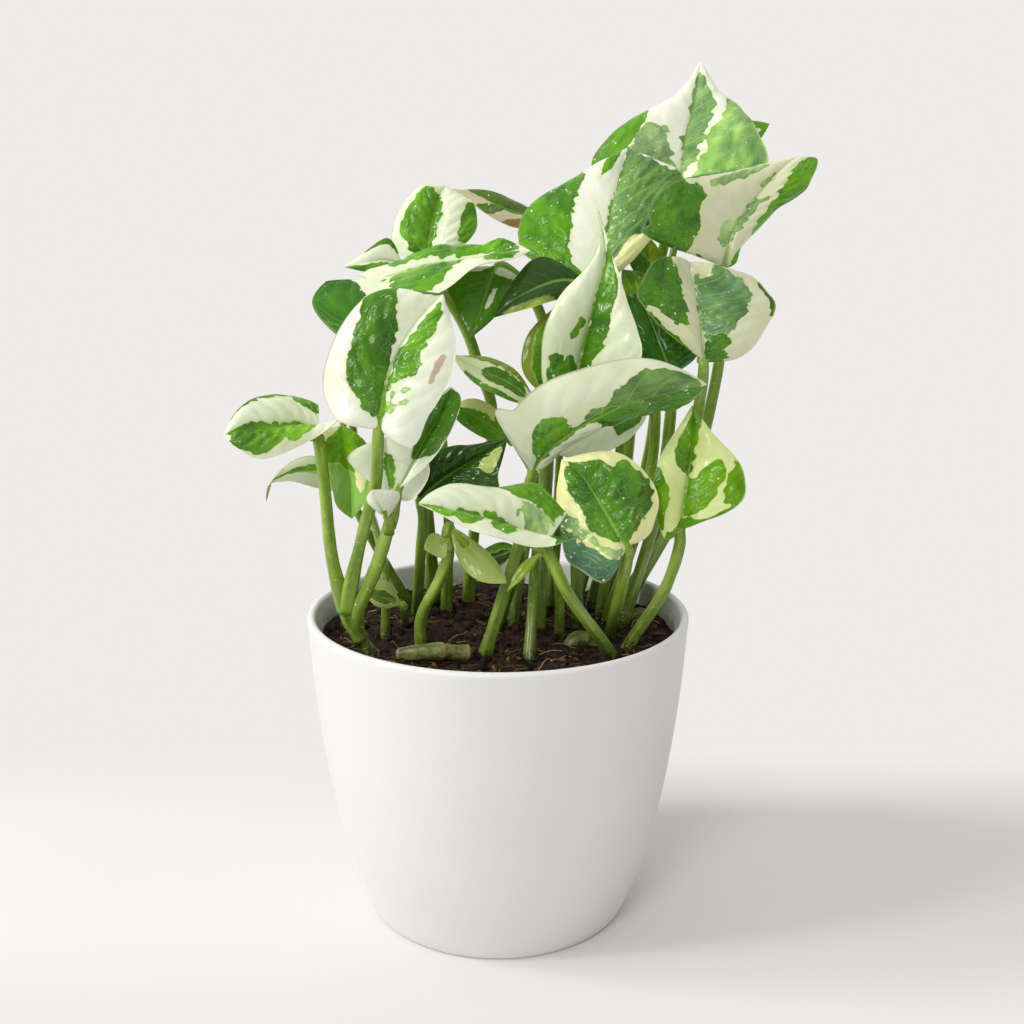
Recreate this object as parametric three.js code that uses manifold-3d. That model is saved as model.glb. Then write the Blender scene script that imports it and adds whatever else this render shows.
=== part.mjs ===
// A njoy pothos in a plain white pot: thirty leafy stems with 35 leaves rise
// from the soil, and most of them lean to the front. Sizes are in mm.
// The origin is the middle of the pot's base, +Z is up and the front is -Y.

import * as THREE from 'three';
import { mergeVertices } from 'three/addons/utils/BufferGeometryUtils.js';
import Module from 'manifold-3d';

const wasm = await Module();
wasm.setup();
const { Manifold, Mesh: SolidMesh } = wasm;

// Pot
const POT_HEIGHT = 115;
const POT_WALL = 3;
const POT_FLOOR = 5;
const POT_SIDES = 48;
const FOOT_CHAMFER = 1.2;
const FOOT_SPREAD = 0.1;
// The side's points start this far above the inner floor.
const FLOOR_CLEAR = 2;
const POT_BASE_RADIUS = 49;
const POT_RIM_RADIUS = 70;
// The rim is rounded over the wall's thickness with one bevel on each side.
const RIM_BEVEL_IN = 0.35;
const RIM_BEVEL_DOWN = 0.3;
// Height and outside radius of the bowl-like side, from the foot to the rim.
const POT_SIDE = [[4, 50.5], [12, 53.4], [26, 57.8], [48, 62.6], [80, 67.2]];

// Soil
const SOIL_TOP = 105;
const SOIL_DOME = 1;
// The dome's slope changes at this part of the pot's radius and of the dome.
const SOIL_SHOULDER = 0.6;
const SOIL_GAP = 0.3;
const STEM_GAP = 0.4;
const ROOT_DEPTH = 14;
// Part of its last slant that a stem keeps below the soil.
const ROOT_SLANT = 0.5;

// Leaves and their stalks
const BLADE_THICK = 0.75;
const STALK_RADIUS = 2.1;
const SMALL_STALK_RADIUS = 1.5;
const STALK_SIDES = 6;
const STALK_STEP = 20;
const STALK_INTO_BLADE = 3;
const STALK_AIMS_AT = 0.12;
const BLADE_ROWS = 9;
const BLADE_HALF_COLUMNS = 3;
const SMALL_BLADE_ROWS = 7;
const SMALL_BLADE_HALF_COLUMNS = 2;
// Rows of a blade: this share stands at even steps, the rest crowds both ends.
const EVEN_ROWS = 0.45;
const CROWN = 2.2;
const SMALL_CROWN = 1;
const WAVE = 0.6;
const SMALL_WAVE = 0.25;
const WAVES_PER_BLADE = 2.4;
const LEFT_WAVE_START = 0.1;
const RIGHT_WAVE_START = 0.55;
// Blades narrower than this are less crowned and less wavy.
const FULL_RELIEF_WIDTH = 25;
// Small steps over a blade's surface, used to find which way it faces.
const STEP_ALONG = 0.03;
const STEP_ACROSS = 0.08;
const STEP_MIDRIB = 0.02;
const NORMAL_FROM_ENDS = 0.04;
const NORMAL_FROM_EDGES = 0.1;

// Points nearer than this are one point.
const SAME_POINT = 1e-4;
// Triangles thinner than this are taken out after pieces are joined.
const SLIVER = 0.03;

// Each leaf is measured at the base of its blade, its tip and a few ribs
// across it. A rib gives the left edge, the midrib and the right edge at the
// part s of the way from base to tip. The stalk runs from the blade down, and
// stalk is its radius where it isn't the usual one.
const LEAVES = {
  tall_heart: {
    node: 'leaf_top_right',
    base: [69, 46, 263.5],
    ribs: [
      { s: 0.22, left: [37, 44, 272], mid: [70.5, 53, 274.5], right: [99.5, 44, 272] },
      { s: 0.45, left: [43, 60, 286], mid: [73, 62, 286.5], right: [100, 60, 288.5] },
      { s: 0.64, left: [57.5, 68, 296], mid: [76, 69, 296.5], right: [96, 68, 295.5] },
      { s: 0.82, left: [69.5, 75, 302], mid: [78.5, 76, 306], right: [89, 75, 303] },
    ],
    tip: [80.5, 82, 316],
    petiole: [
      [66, 44, 256.5], [59, 42, 224.5], [53, 40, 186.5], [48.5, 36, 147.5], [37, 30, 105],
    ],
    rooted: true,
  },
  hidden_tip: {
    node: 'leaf_behind_top_right',
    base: [84.5, 69, 280.5],
    ribs: [
      { s: 0.45, left: [94.5, 74, 291.5], mid: [96, 72, 286], right: [98, 70, 281] },
    ],
    tip: [107.5, 74, 291.5],
    petiole: [
      [79, 66, 276.5], [65.5, 57, 224], [60, 50, 165], [44.5, 43.5, 105],
    ],
    small: true,
    rooted: true,
  },
  upper_right: {
    node: 'leaf_upper_right',
    base: [82.5, 24, 238],
    ribs: [
      { s: 0.05, left: [58, 10, 246.5], mid: [83, 22, 242], right: [86, 25, 238] },
      { s: 0.18, left: [53.5, 8, 254], mid: [84.5, 22, 248.5], right: [89.5, 26, 245.5] },
      { s: 0.42, left: [60, 14, 266.5], mid: [89.5, 24, 257], right: [101, 28, 257.5] },
      { s: 0.72, left: [87.5, 30, 272.5], mid: [98, 28, 267.5], right: [114.5, 32, 267.5] },
      { s: 0.88, left: [101, 34, 275.5], mid: [104, 31, 273], right: [117.5, 35, 277] },
    ],
    tip: [110, 34, 277],
    petiole: [
      [82.5, 25, 235], [84, 28, 214.5], [81, 28, 188], [71.5, 27, 149.5], [50.5, 33, 105],
    ],
    rooted: true,
  },
  centre_top: {
    node: 'leaf_centre_top',
    base: [37, 10, 231],
    ribs: [
      { s: 0.12, left: [13.5, 14, 240], mid: [37.5, 13, 237], right: [47, 12, 240] },
      { s: 0.3, left: [7.5, 20, 248.5], mid: [39.5, 18, 246.5], right: [58, 17, 252] },
      { s: 0.58, left: [14.5, 29, 262.5], mid: [42, 26, 261], right: [67.5, 27, 266.5] },
      { s: 0.82, left: [33, 34, 273], mid: [45.5, 34, 272], right: [63, 30, 274] },
    ],
    tip: [48, 40, 280.5],
    petiole: [
      [37, 14, 225], [38.5, 22, 204], [39.5, 27, 169], [37, 29, 133], [29, 25, 105],
    ],
    rooted: true,
  },
  right_heart: {
    node: 'leaf_right_heart',
    base: [72.5, -2, 206],
    ribs: [
      { s: 0.15, left: [65, -3, 212], mid: [72, -1, 212], right: [84, 1, 207] },
      { s: 0.42, left: [51, -4, 224.5], mid: [71.5, 3, 221], right: [96, 5, 218.5] },
      { s: 0.72, left: [49.5, -2, 233], mid: [70, 8, 231], right: [97.5, 11, 228] },
      { s: 0.9, left: [57, 0, 242], mid: [68, 9, 237.5], right: [86, 13, 237] },
    ],
    tip: [68, 11, 240],
    petiole: [
      [72.5, -2, 202.5], [72.5, 4, 191.5], [69.5, 12, 164.5], [60, 20, 133.5], [45, 19, 105],
    ],
    rooted: true,
  },
  centre_upright: {
    node: 'leaf_centre_upright',
    base: [27, -4, 194],
    ribs: [
      { s: 0.12, left: [17.5, -9, 196.5], mid: [27.5, -3, 200.5], right: [44.5, -9, 197.5] },
      { s: 0.3, left: [15, -9, 210], mid: [30, -2, 212], right: [49.5, -11, 209] },
      { s: 0.55, left: [19.5, -6, 226], mid: [34, -2, 228.5], right: [45.5, -8, 224.5] },
      { s: 0.8, left: [34.5, 0, 244.5], mid: [37.5, 2, 244.5], right: [39.5, -2, 243.5] },
    ],
    tip: [34.5, 4, 258.5],
    petiole: [
      [27, 0, 189.5], [27.5, 5, 173], [28.5, 8, 146.5], [30, 5.5, 105],
    ],
    rooted: true,
  },
  centre_wide: {
    node: 'leaf_centre_wide',
    base: [12, -18, 169],
    ribs: [
      { s: 0.04, left: [1, -24, 187], mid: [13.5, -19, 172.5], right: [17.5, -12, 172] },
      { s: 0.14, left: [5.5, -26, 193], mid: [18.5, -20, 178.5], right: [22.5, -12, 176.5] },
      { s: 0.3, left: [14.5, -27, 201], mid: [26.5, -21, 185], right: [30.5, -12, 181.5] },
      { s: 0.6, left: [36.5, -28, 209], mid: [45.5, -22, 194.5], right: [50, -12, 189] },
      { s: 0.85, left: [57.5, -24, 208], mid: [63.5, -19, 198.5], right: [66, -10, 192.5] },
    ],
    tip: [71.5, -16, 200],
    petiole: [
      [10.5, -18, 163.5], [7.5, -22, 146.5], [-5, -29.5, 105],
    ],
    rooted: true,
  },
  below_wide: {
    node: 'leaf_below_wide',
    base: [55.5, 4, 195.5],
    ribs: [
      { s: 0.35, left: [49.5, -4, 181.5], mid: [43.5, -2, 188], right: [38, -4, 192] },
      { s: 0.7, left: [32.5, -8, 172.5], mid: [30.5, -5, 179.5], right: [28.5, -5, 182] },
    ],
    tip: [19.5, -8, 174.5],
    petiole: [
      [56.5, 6, 191.5], [57, 8, 172.5], [52, 4, 147], [41, 8, 105],
    ],
    rooted: true,
  },
  front_round: {
    node: 'leaf_front_right',
    base: [43, -40, 149],
    ribs: [
      { s: 0.06, left: [37.5, -46, 140], mid: [40.5, -40, 152], right: [48.5, -36, 150] },
      { s: 0.2, left: [26.5, -44, 142.5], mid: [38, -38, 156], right: [53, -32, 157.5] },
      { s: 0.5, left: [21, -36, 154], mid: [33, -34, 164], right: [51.5, -28, 169.5] },
      { s: 0.78, left: [20, -30, 166.5], mid: [27.5, -30, 171.5], right: [38, -26, 178.5] },
    ],
    tip: [21.5, -28, 176],
    petiole: [
      [43.5, -38, 145], [41.5, -30, 127], [40.5, -8, 105],
    ],
    rooted: true,
  },
  right_low: {
    node: 'leaf_right_low',
    base: [63.5, -20, 149.5],
    ribs: [
      { s: 0.08, left: [59, -24, 147], mid: [64, -19, 153], right: [71.5, -24, 153.5] },
      { s: 0.25, left: [54.5, -22, 156.5], mid: [65, -17, 159.5], right: [83.5, -20, 158.5] },
      { s: 0.5, left: [54.5, -18, 170.5], mid: [67, -13, 171], right: [85.5, -16, 169.5] },
      { s: 0.8, left: [62.5, -10, 183], mid: [68.5, -10, 183], right: [73.5, -12, 184] },
    ],
    tip: [68, -8, 191.5],
    petiole: [
      [63.5, -20, 144], [58.5, -22, 128.5], [45.5, -20, 105],
    ],
    rooted: true,
  },
  front_left_big: {
    node: 'stem_front_left',
    base: [-38.5, -44, 189],
    ribs: [
      { s: 0.06, left: [-47, -46, 190.5], mid: [-38, -43, 192], right: [-30.5, -46, 184] },
      { s: 0.22, left: [-55.5, -44, 199], mid: [-37, -40, 200], right: [-22, -42, 193.5] },
      { s: 0.48, left: [-53, -38, 217], mid: [-33, -36, 212.5], right: [-14.5, -38, 208] },
      { s: 0.78, left: [-38, -32, 233], mid: [-25, -31, 224.5], right: [-15, -32, 223] },
    ],
    tip: [-18, -28, 231],
    petiole: [
      [-39, -43, 183.5], [-40.5, -38, 169.5], [-45.5, -33, 152.5], [-50.5, -28, 133.5],
      [-53.5, -26, 121.5],
    ],
  },
  far_left: {
    node: 'stem_front_left',
    base: [-61, -26, 184.5],
    ribs: [
      { s: 0, left: [-53, -30, 190], mid: [-61, -26, 184.5], right: [-61, -22, 194] },
      { s: 0.25, left: [-60, -33, 185], mid: [-68, -28, 187.5], right: [-67.5, -20, 196] },
      { s: 0.55, left: [-75.5, -40, 178.5], mid: [-78, -34, 188], right: [-80, -26, 196.5] },
      { s: 0.8, left: [-84, -42, 182], mid: [-85, -38, 188], right: [-86, -34, 193] },
    ],
    tip: [-89.5, -40, 186],
    petiole: [
      [-60.5, -26, 181.5], [-59, -27, 165.5], [-57.5, -26, 142], [-53.5, -26, 121.5],
    ],
  },
  left_drooping: {
    node: 'leaf_left_drooping',
    base: [-55.5, 2, 158],
    ribs: [
      { s: 0.35, left: [-64.5, 0, 160], mid: [-63.5, -1, 165.5], right: [-65, 2, 171] },
      { s: 0.7, left: [-76.5, -4, 163.5], mid: [-76.5, -4, 166], right: [-76, -3, 169] },
      { s: 0.9, left: [-82.5, -6, 161.5], mid: [-82, -6, 162], right: [-80.5, -6, 163.5] },
    ],
    tip: [-83, -6, 156.5],
    petiole: [
      [-53.5, 2, 155], [-46.5, 4, 139.5], [-33.5, 25, 105],
    ],
    small: true,
    stalk: 1.7,
    rooted: true,
  },
  long_upper_left: {
    node: 'leaf_upper_left_long',
    base: [-43.5, 4, 232.5],
    ribs: [
      { s: 0, left: [-50, 11, 235.5], mid: [-43.5, 4, 232.5], right: [-60, 0, 234] },
      { s: 0.07, left: [-45.5, 15, 236.5], mid: [-40, 5, 234.5], right: [-64.5, -6, 227.5] },
      { s: 0.16, left: [-39.5, 17, 238], mid: [-36, 5, 236], right: [-54.5, -15, 216.5] },
      { s: 0.4, left: [-25.5, 18, 244], mid: [-23.5, 6, 239.5], right: [-24.5, -14, 229] },
      { s: 0.7, left: [-5.5, 14, 245.5], mid: [-5, 6, 241.5], right: [-7, -6, 238.5] },
      { s: 0.9, left: [3.5, 10, 248], mid: [5, 7, 243.5], right: [6, 0, 242] },
    ],
    tip: [11.5, 6, 244],
    petiole: [
      [-42.5, 6, 229], [-36, 8, 209], [-30, 6, 184], [-25.5, 4, 147], [-25.5, 33, 105],
    ],
    rooted: true,
  },
  top_left: {
    node: 'leaf_top_left',
    base: [-27, 32, 237],
    ribs: [
      { s: 0.3, left: [-39, 34, 245.5], mid: [-26, 35, 246], right: [-10.5, 36, 247.5] },
      { s: 0.68, left: [-34.5, 40, 262], mid: [-23.5, 40, 259], right: [-9, 42, 259.5] },
      { s: 0.88, left: [-27.5, 43, 267], mid: [-22, 43, 264], right: [-13.5, 43, 263.5] },
    ],
    tip: [-19.5, 44, 267],
    petiole: [
      [-24, 30, 232], [-15.5, 28, 221], [-10.5, 27, 211], [-7, 26, 200], [-2.5, 24, 187],
      [-3, 22, 170], [-7.5, 20, 151], [-12, 33, 105],
    ],
    rooted: true,
  },
  left_behind: {
    node: 'leaf_left_behind',
    base: [-35.5, 26, 239],
    ribs: [
      { s: 0.35, left: [-41.5, 22, 235.5], mid: [-42, 24, 240.5], right: [-40.5, 28, 248] },
      { s: 0.7, left: [-49.5, 20, 236.5], mid: [-49.5, 21, 239.5], right: [-49, 24, 243] },
    ],
    tip: [-56, 20, 238],
    petiole: [
      [-32.5, 24, 235], [-26, 22, 215], [-21.5, 18, 182], [-18.5, 8, 146.5], [-20, 17.5, 105],
    ],
    small: true,
    stalk: 1.8,
    rooted: true,
  },
  top_middle: {
    node: 'leaf_top_middle_behind',
    base: [18.5, 56, 256],
    ribs: [
      { s: 0.35, left: [8.5, 50, 251.5], mid: [7.5, 54, 257], right: [8.5, 58, 261] },
      { s: 0.7, left: [-3, 48, 256], mid: [-5, 51, 262], right: [-4, 54, 265.5] },
    ],
    tip: [-17.5, 50, 266],
    petiole: [
      [22, 54, 251], [26, 46, 213], [24, 36, 167.5], [22, 46.5, 105],
    ],
    small: true,
    rooted: true,
  },
  under_long: {
    node: 'leaf_under_long',
    base: [-0.5, 16, 238.5],
    ribs: [
      { s: 0.3, left: [8, 14, 233], mid: [-3, 13, 232.5], right: [-18.5, 12, 236.5] },
      { s: 0.65, left: [-0.5, 9, 221.5], mid: [-6.5, 8, 222.5], right: [-15.5, 8, 225] },
    ],
    tip: [-10, 4, 213.5],
    petiole: [
      [2, 19, 238.5], [11, 22, 229.5], [17.5, 24, 215], [19.5, 22, 189], [18, 14, 152.5],
      [14.5, 20, 105],
    ],
    small: true,
    stalk: 1.9,
    rooted: true,
  },
  dark_centre: {
    node: 'leaf_dark_centre',
    base: [32, 9, 232.5],
    ribs: [
      { s: 0.3, left: [24, 3, 228.5], mid: [22, 5, 234], right: [17.5, 9, 242] },
      { s: 0.7, left: [7.5, -4, 224], mid: [6.5, -1, 228], right: [5, 4, 233.5] },
    ],
    tip: [-1.5, -2, 221.5],
    petiole: [
      [33.5, 10, 228.5], [33, 15, 190], [24, 16, 152], [20.5, 25, 105],
    ],
    small: true,
    stalk: 1.8,
    rooted: true,
  },
  left_mid_upper: {
    node: 'leaf_left_mid_upper',
    base: [14, -6, 190.5],
    ribs: [
      { s: 0.35, left: [2.5, -16, 195], mid: [5, -9, 198.5], right: [7.5, -4, 202] },
      { s: 0.7, left: [-9, -18, 201.5], mid: [-6, -12, 204.5], right: [-3, -6, 208] },
    ],
    tip: [-16, -12, 209.5],
    petiole: [
      [15, -4, 185.5], [16.5, 0, 167], [13.5, -12, 136.5], [11, -29.5, 105],
    ],
    small: true,
    stalk: 1.9,
    rooted: true,
  },
  left_mid_lower: {
    node: 'leaf_left_mid_lower',
    base: [6, 4, 176.5],
    ribs: [
      { s: 0.35, left: [-3.5, -1, 178], mid: [-2, 3, 181.5], right: [0.5, 6, 187] },
      { s: 0.7, left: [-13, -3, 184], mid: [-10.5, -1, 187.5], right: [-9, 2, 192.5] },
    ],
    tip: [-18, -1, 189.5],
    petiole: [
      [9, 5, 172], [13.5, 8, 161.5], [10.5, 10, 138], [5, 1, 105],
    ],
    small: true,
    stalk: 1.8,
    rooted: true,
  },
  dark_low: {
    node: 'leaf_dark_low',
    base: [-28, -6, 157],
    ribs: [
      { s: 0.1, left: [-34, -8, 168.5], mid: [-25, -6, 160], right: [-20.5, -12, 155.5] },
      { s: 0.4, left: [-22, -4, 175], mid: [-16.5, -5, 166.5], right: [-2, -14, 161] },
      { s: 0.75, left: [-8, -6, 177.5], mid: [-5, -7, 174], right: [0.5, -12, 169] },
    ],
    tip: [3.5, -8, 180],
    petiole: [
      [-27, -5, 152.5], [-28.5, -2, 133.5], [-31.5, 17.5, 105],
    ],
    rooted: true,
  },
  front_long: {
    node: 'leaf_front_long',
    base: [15, -50, 151.5],
    ribs: [
      { s: 0, left: [26.5, -54, 156], mid: [15, -50, 151.5], right: [23, -40, 160.5] },
      { s: 0.15, left: [18.5, -58, 154], mid: [8, -51, 156], right: [15.5, -38, 168] },
      { s: 0.45, left: [0.5, -62, 157], mid: [-3, -54, 161.5], right: [0, -42, 170] },
      { s: 0.78, left: [-15.5, -62, 163.5], mid: [-17, -58, 166], right: [-18.5, -50, 171] },
    ],
    tip: [-25, -60, 168],
    petiole: [
      [16.5, -50, 148.5], [22.5, -50, 136], [40, -28.5, 105],
    ],
    rooted: true,
  },
  narrow_green: {
    node: 'stem_front_left',
    base: [-33.5, -32, 166.5],
    ribs: [
      { s: 0.35, left: [-29, -30, 180.5], mid: [-27, -28, 178.5], right: [-20, -30, 179] },
      { s: 0.7, left: [-22, -26, 194.5], mid: [-19.5, -24, 191.5], right: [-12.5, -24, 194.5] },
    ],
    tip: [-16, -22, 200],
    petiole: [
      [-34, -33, 163], [-36, -33, 155],
    ],
    small: true,
  },
  pale_low: {
    node: 'stem_front_left',
    base: [-37, -24, 162],
    ribs: [
      { s: 0.25, left: [-43.5, -25, 167.5], mid: [-37, -23, 167], right: [-29.5, -25, 161.5] },
      { s: 0.6, left: [-51.5, -22, 175.5], mid: [-38, -20, 174.5], right: [-23.5, -22, 172.5] },
    ],
    tip: [-38.5, -18, 182],
    petiole: [
      [-36.5, -27, 159], [-36.5, -31, 153],
    ],
    small: true,
  },
  yellow_green: {
    node: 'leaf_behind_left_petioles',
    base: [-54.5, -10, 185],
    ribs: [
      { s: 0.3, left: [-45.5, -14, 178.5], mid: [-54, -9, 176.5], right: [-64.5, -12, 180] },
      { s: 0.65, left: [-45, -16, 164.5], mid: [-52, -12, 164], right: [-58.5, -14, 165.5] },
      { s: 0.88, left: [-47.5, -16, 157], mid: [-52, -13, 155.5], right: [-56, -15, 156] },
    ],
    tip: [-51.5, -14, 152],
    petiole: [
      [-52, -6, 186], [-51, 2, 166.5], [-41.5, -6, 134.5], [-41, -10.5, 105],
    ],
    small: true,
    rooted: true,
  },
  sheath_cup: {
    node: 'stem_front_left',
    base: [-37, -36, 157.5],
    ribs: [
      { s: 0.5, left: [-43, -42, 164.5], mid: [-39, -42, 163], right: [-32.5, -40, 167] },
    ],
    tip: [-41, -46, 169.5],
    petiole: [
      [-36.5, -35, 155.5], [-37, -33, 152],
    ],
    small: true,
  },
  small_curled_a: {
    node: 'small_curled_leaf',
    base: [-17.5, -33, 149.5],
    ribs: [
      { s: 0.5, left: [-22, -36, 152.5], mid: [-21, -35, 148.5], right: [-18, -40, 145] },
    ],
    tip: [-24.5, -40, 148],
    petiole: [
      [-17, -33, 148], [-17, -32, 145],
    ],
    small: true,
  },
  small_curled_b: {
    node: 'small_curled_leaf',
    base: [-16.5, -30, 154],
    ribs: [
      { s: 0.4, left: [-5.5, -30, 146], mid: [-9, -33, 145], right: [-13, -35, 142] },
      { s: 0.75, left: [0.5, -34, 140], mid: [-2.5, -36, 140], right: [-5.5, -38, 136] },
    ],
    tip: [3, -38, 135.5],
    petiole: [
      [-17.5, -31, 150], [-17, -32, 143.5], [-20, -32, 135], [-27, -27, 119], [-27, -25.5, 105],
    ],
    small: true,
    stalk: 2.1,
    rooted: true,
  },
  small_dark: {
    node: 'small_dark_leaf',
    base: [7, -14, 141.5],
    ribs: [
      { s: 0.5, left: [-2, -20, 134.5], mid: [-1.5, -16, 138.5], right: [-0.5, -12, 142.5] },
    ],
    tip: [-10.5, -18, 137.5],
    petiole: [
      [8, -12, 138], [0, 1, 105],
    ],
    small: true,
    rooted: true,
  },
  small_narrow: {
    node: 'small_narrow_leaf',
    base: [14.5, -34, 145.5],
    ribs: [
      { s: 0.5, left: [10, -37, 138.5], mid: [9, -36, 139.5], right: [7.5, -34, 140.5] },
    ],
    tip: [3, -38, 132.5],
    petiole: [
      [16, -32, 146], [20, -28, 137.5], [22.5, -8, 105],
    ],
    small: true,
    stalk: 1.7,
    rooted: true,
  },
  behind_upright_left: {
    node: 'leaf_behind_upright_left',
    base: [18.5, 2, 192],
    ribs: [
      { s: 0.4, left: [8.5, 2, 203.5], mid: [18, 4, 204.5], right: [26.5, 2, 204] },
      { s: 0.7, left: [10.5, 6, 214.5], mid: [18.5, 7, 214.5], right: [25, 6, 213.5] },
    ],
    tip: [19.5, 10, 223.5],
    petiole: [
      [18.5, 4, 187.5], [18.5, 6, 165.5], [15.5, -1.5, 105],
    ],
    small: true,
    stalk: 1.8,
    rooted: true,
  },
  behind_upright_right: {
    node: 'leaf_behind_upright_right',
    base: [62, 8, 201],
    ribs: [
      { s: 0.3, left: [51, 6, 207], mid: [58.5, 11, 210.5], right: [73, 14, 208] },
      { s: 0.65, left: [46, 16, 223], mid: [53, 18, 224.5], right: [67, 24, 229.5] },
    ],
    tip: [45.5, 24, 237],
    petiole: [
      [63, 9, 196.5], [62.5, 12, 175.5], [58.5, 12, 145.5], [46.5, 4.5, 105],
    ],
    rooted: true,
  },
  between_tops: {
    node: 'leaf_between_tops',
    base: [57.5, 32, 229],
    ribs: [
      { s: 0.45, left: [49, 34, 239.5], mid: [56, 36, 238.5], right: [61.5, 35, 239.5] },
    ],
    tip: [56, 40, 249.5],
    petiole: [
      [57, 33, 223.5], [48, 32, 187.5], [46, 27, 149.5], [39.5, 17.5, 105],
    ],
    small: true,
    stalk: 1.8,
    rooted: true,
  },
  near_soil: {
    node: 'small_leaf_near_soil',
    base: [-34.5, -12, 120],
    ribs: [
      { s: 0.5, left: [-42, -18, 120.5], mid: [-41.5, -14, 123], right: [-41, -10, 128.5] },
    ],
    tip: [-48.5, -14, 125],
    petiole: [
      [-34, -11, 118], [-35, 5.5, 105],
    ],
    small: true,
    stalk: 1.7,
    rooted: true,
  },
};

// Bare stem pieces that belong to a leafy stem, each along its middle line.
const SHOOTS = [
  {
    node: 'stem_front_left',
    radius: 2.3,
    rooted: true,
    line: [[-36.5, -33, 155], [-42, -30, 138], [-49, -27, 120.5], [-48, -24, 110.5], [-44.5, -23.5, 105]],
  },
  {
    node: 'stem_front_left',
    radius: 2.2,
    line: [[-54, -26, 124], [-52, -25, 116.5], [-48, -24, 110.5]],
  },
];

// Stem pieces that lie on the soil or come half out of it.
const LYING_STEMS = [
  { node: 'cut_stem', radius: 3.2, line: [[-35, -35, 109], [-22, -34.5, 110], [-9.5, -32, 108.5]] },
  { node: 'rhizome_front', radius: 3, line: [[23, -17, 103], [29, -14, 107.5], [35, -11, 103]] },
  { node: 'rhizome_right', radius: 2.6, line: [[49, 13, 103], [54, 15, 107.5], [58, 18, 103]] },
];

const COLOURS = {
  pot: ['#eeedea', 0.6],
  soil: ['#33241a', 1],
  leaf: ['#8fb56a', 0.42],
  stem: ['#7d8b52', 0.6],
};

const vector = (point) => new THREE.Vector3(...point);

// A smooth line through points that stand at uneven stops.
function smoothAt(stops, points, t) {
  const last = stops.length - 1;
  const chord = (i) => points[i + 1].clone().sub(points[i]).divideScalar(stops[i + 1] - stops[i]);
  const inner = (i) => {
    const before = stops[i] - stops[i - 1];
    const after = stops[i + 1] - stops[i];
    return chord(i - 1).multiplyScalar(after).add(chord(i).multiplyScalar(before))
      .divideScalar(before + after);
  };
  const slope = (i) => {
    if (i === 0) {
      return last === 1 ? chord(0) : chord(0).multiplyScalar(1.5).addScaledVector(inner(1), -0.5);
    }
    if (i === last) {
      return last === 1
        ? chord(0)
        : chord(last - 1).multiplyScalar(1.5).addScaledVector(inner(last - 1), -0.5);
    }
    return inner(i);
  };
  let i = 0;
  while (i < last - 1 && t > stops[i + 1]) i += 1;
  const span = stops[i + 1] - stops[i];
  const x = (t - stops[i]) / span;
  return points[i].clone().multiplyScalar(2 * x ** 3 - 3 * x ** 2 + 1)
    .addScaledVector(slope(i), (x ** 3 - 2 * x ** 2 + x) * span)
    .addScaledVector(points[i + 1], -2 * x ** 3 + 3 * x ** 2)
    .addScaledVector(slope(i + 1), (x ** 3 - x ** 2) * span);
}

// The middle surface of a blade: s from base to tip, r from -1 at the left
// edge over 0 at the midrib to 1 at the right edge.
function bladeSurface(leaf) {
  const open = leaf.ribs[0].s === 0;
  const first = open ? [] : [{ s: 0, left: leaf.base, mid: leaf.base, right: leaf.base }];
  const ribs = [...first, ...leaf.ribs, { s: 1, left: leaf.tip, mid: leaf.tip, right: leaf.tip }];
  const stops = ribs.map((rib) => rib.s);
  const lines = {};
  for (const key of ['left', 'mid', 'right']) lines[key] = ribs.map((rib) => vector(rib[key]));
  const crown = leaf.small ? SMALL_CROWN : CROWN;
  const wave = leaf.small ? SMALL_WAVE : WAVE;
  return (s, r) => {
    const mid = smoothAt(stops, lines.mid, s);
    const left = smoothAt(stops, lines.left, s);
    const right = smoothAt(stops, lines.right, s);
    const ahead = smoothAt(stops, lines.mid, Math.min(1, s + STEP_MIDRIB));
    const behind = smoothAt(stops, lines.mid, Math.max(0, s - STEP_MIDRIB));
    const across = right.clone().sub(left);
    const width = across.length();
    const up = across.cross(ahead.sub(behind)).normalize();
    const far = Math.abs(r);
    const ease = Math.min(1, width / FULL_RELIEF_WIDTH);
    const lift = crown * 4 * far * (1 - far) * ease;
    const start = r < 0 ? LEFT_WAVE_START : RIGHT_WAVE_START;
    const turn = 2 * Math.PI * (WAVES_PER_BLADE * s + start);
    const ripple = wave * far ** 3 * Math.sin(turn) * ease;
    return mid.lerp(r < 0 ? left : right, far).addScaledVector(up, lift + ripple);
  };
}

// The way the blade faces, measured a little inside its edges.
function bladeNormal(surface, s, r) {
  const a = Math.min(1 - NORMAL_FROM_ENDS, Math.max(NORMAL_FROM_ENDS, s));
  const b = Math.min(1 - NORMAL_FROM_EDGES, Math.max(NORMAL_FROM_EDGES - 1, r));
  const across = surface(a, b + STEP_ACROSS).sub(surface(a, b - STEP_ACROSS));
  const along = surface(a + STEP_ALONG, b).sub(surface(a - STEP_ALONG, b));
  return across.cross(along).normalize();
}

// The closed solid of a geometry whose faces don't share their points yet.
function weld(geometry) {
  geometry.deleteAttribute('normal');
  geometry.deleteAttribute('uv');
  const welded = mergeVertices(geometry, SAME_POINT);
  const corners = Array.from(welded.index.array);
  const kept = [];
  for (let i = 0; i < corners.length; i += 3) {
    const [a, b, c] = corners.slice(i, i + 3);
    if (a !== b && b !== c && c !== a) kept.push(a, b, c);
  }
  return Manifold.ofMesh(new SolidMesh({
    numProp: 3,
    vertProperties: new Float32Array(welded.attributes.position.array),
    triVerts: new Uint32Array(kept),
  }));
}

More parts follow.
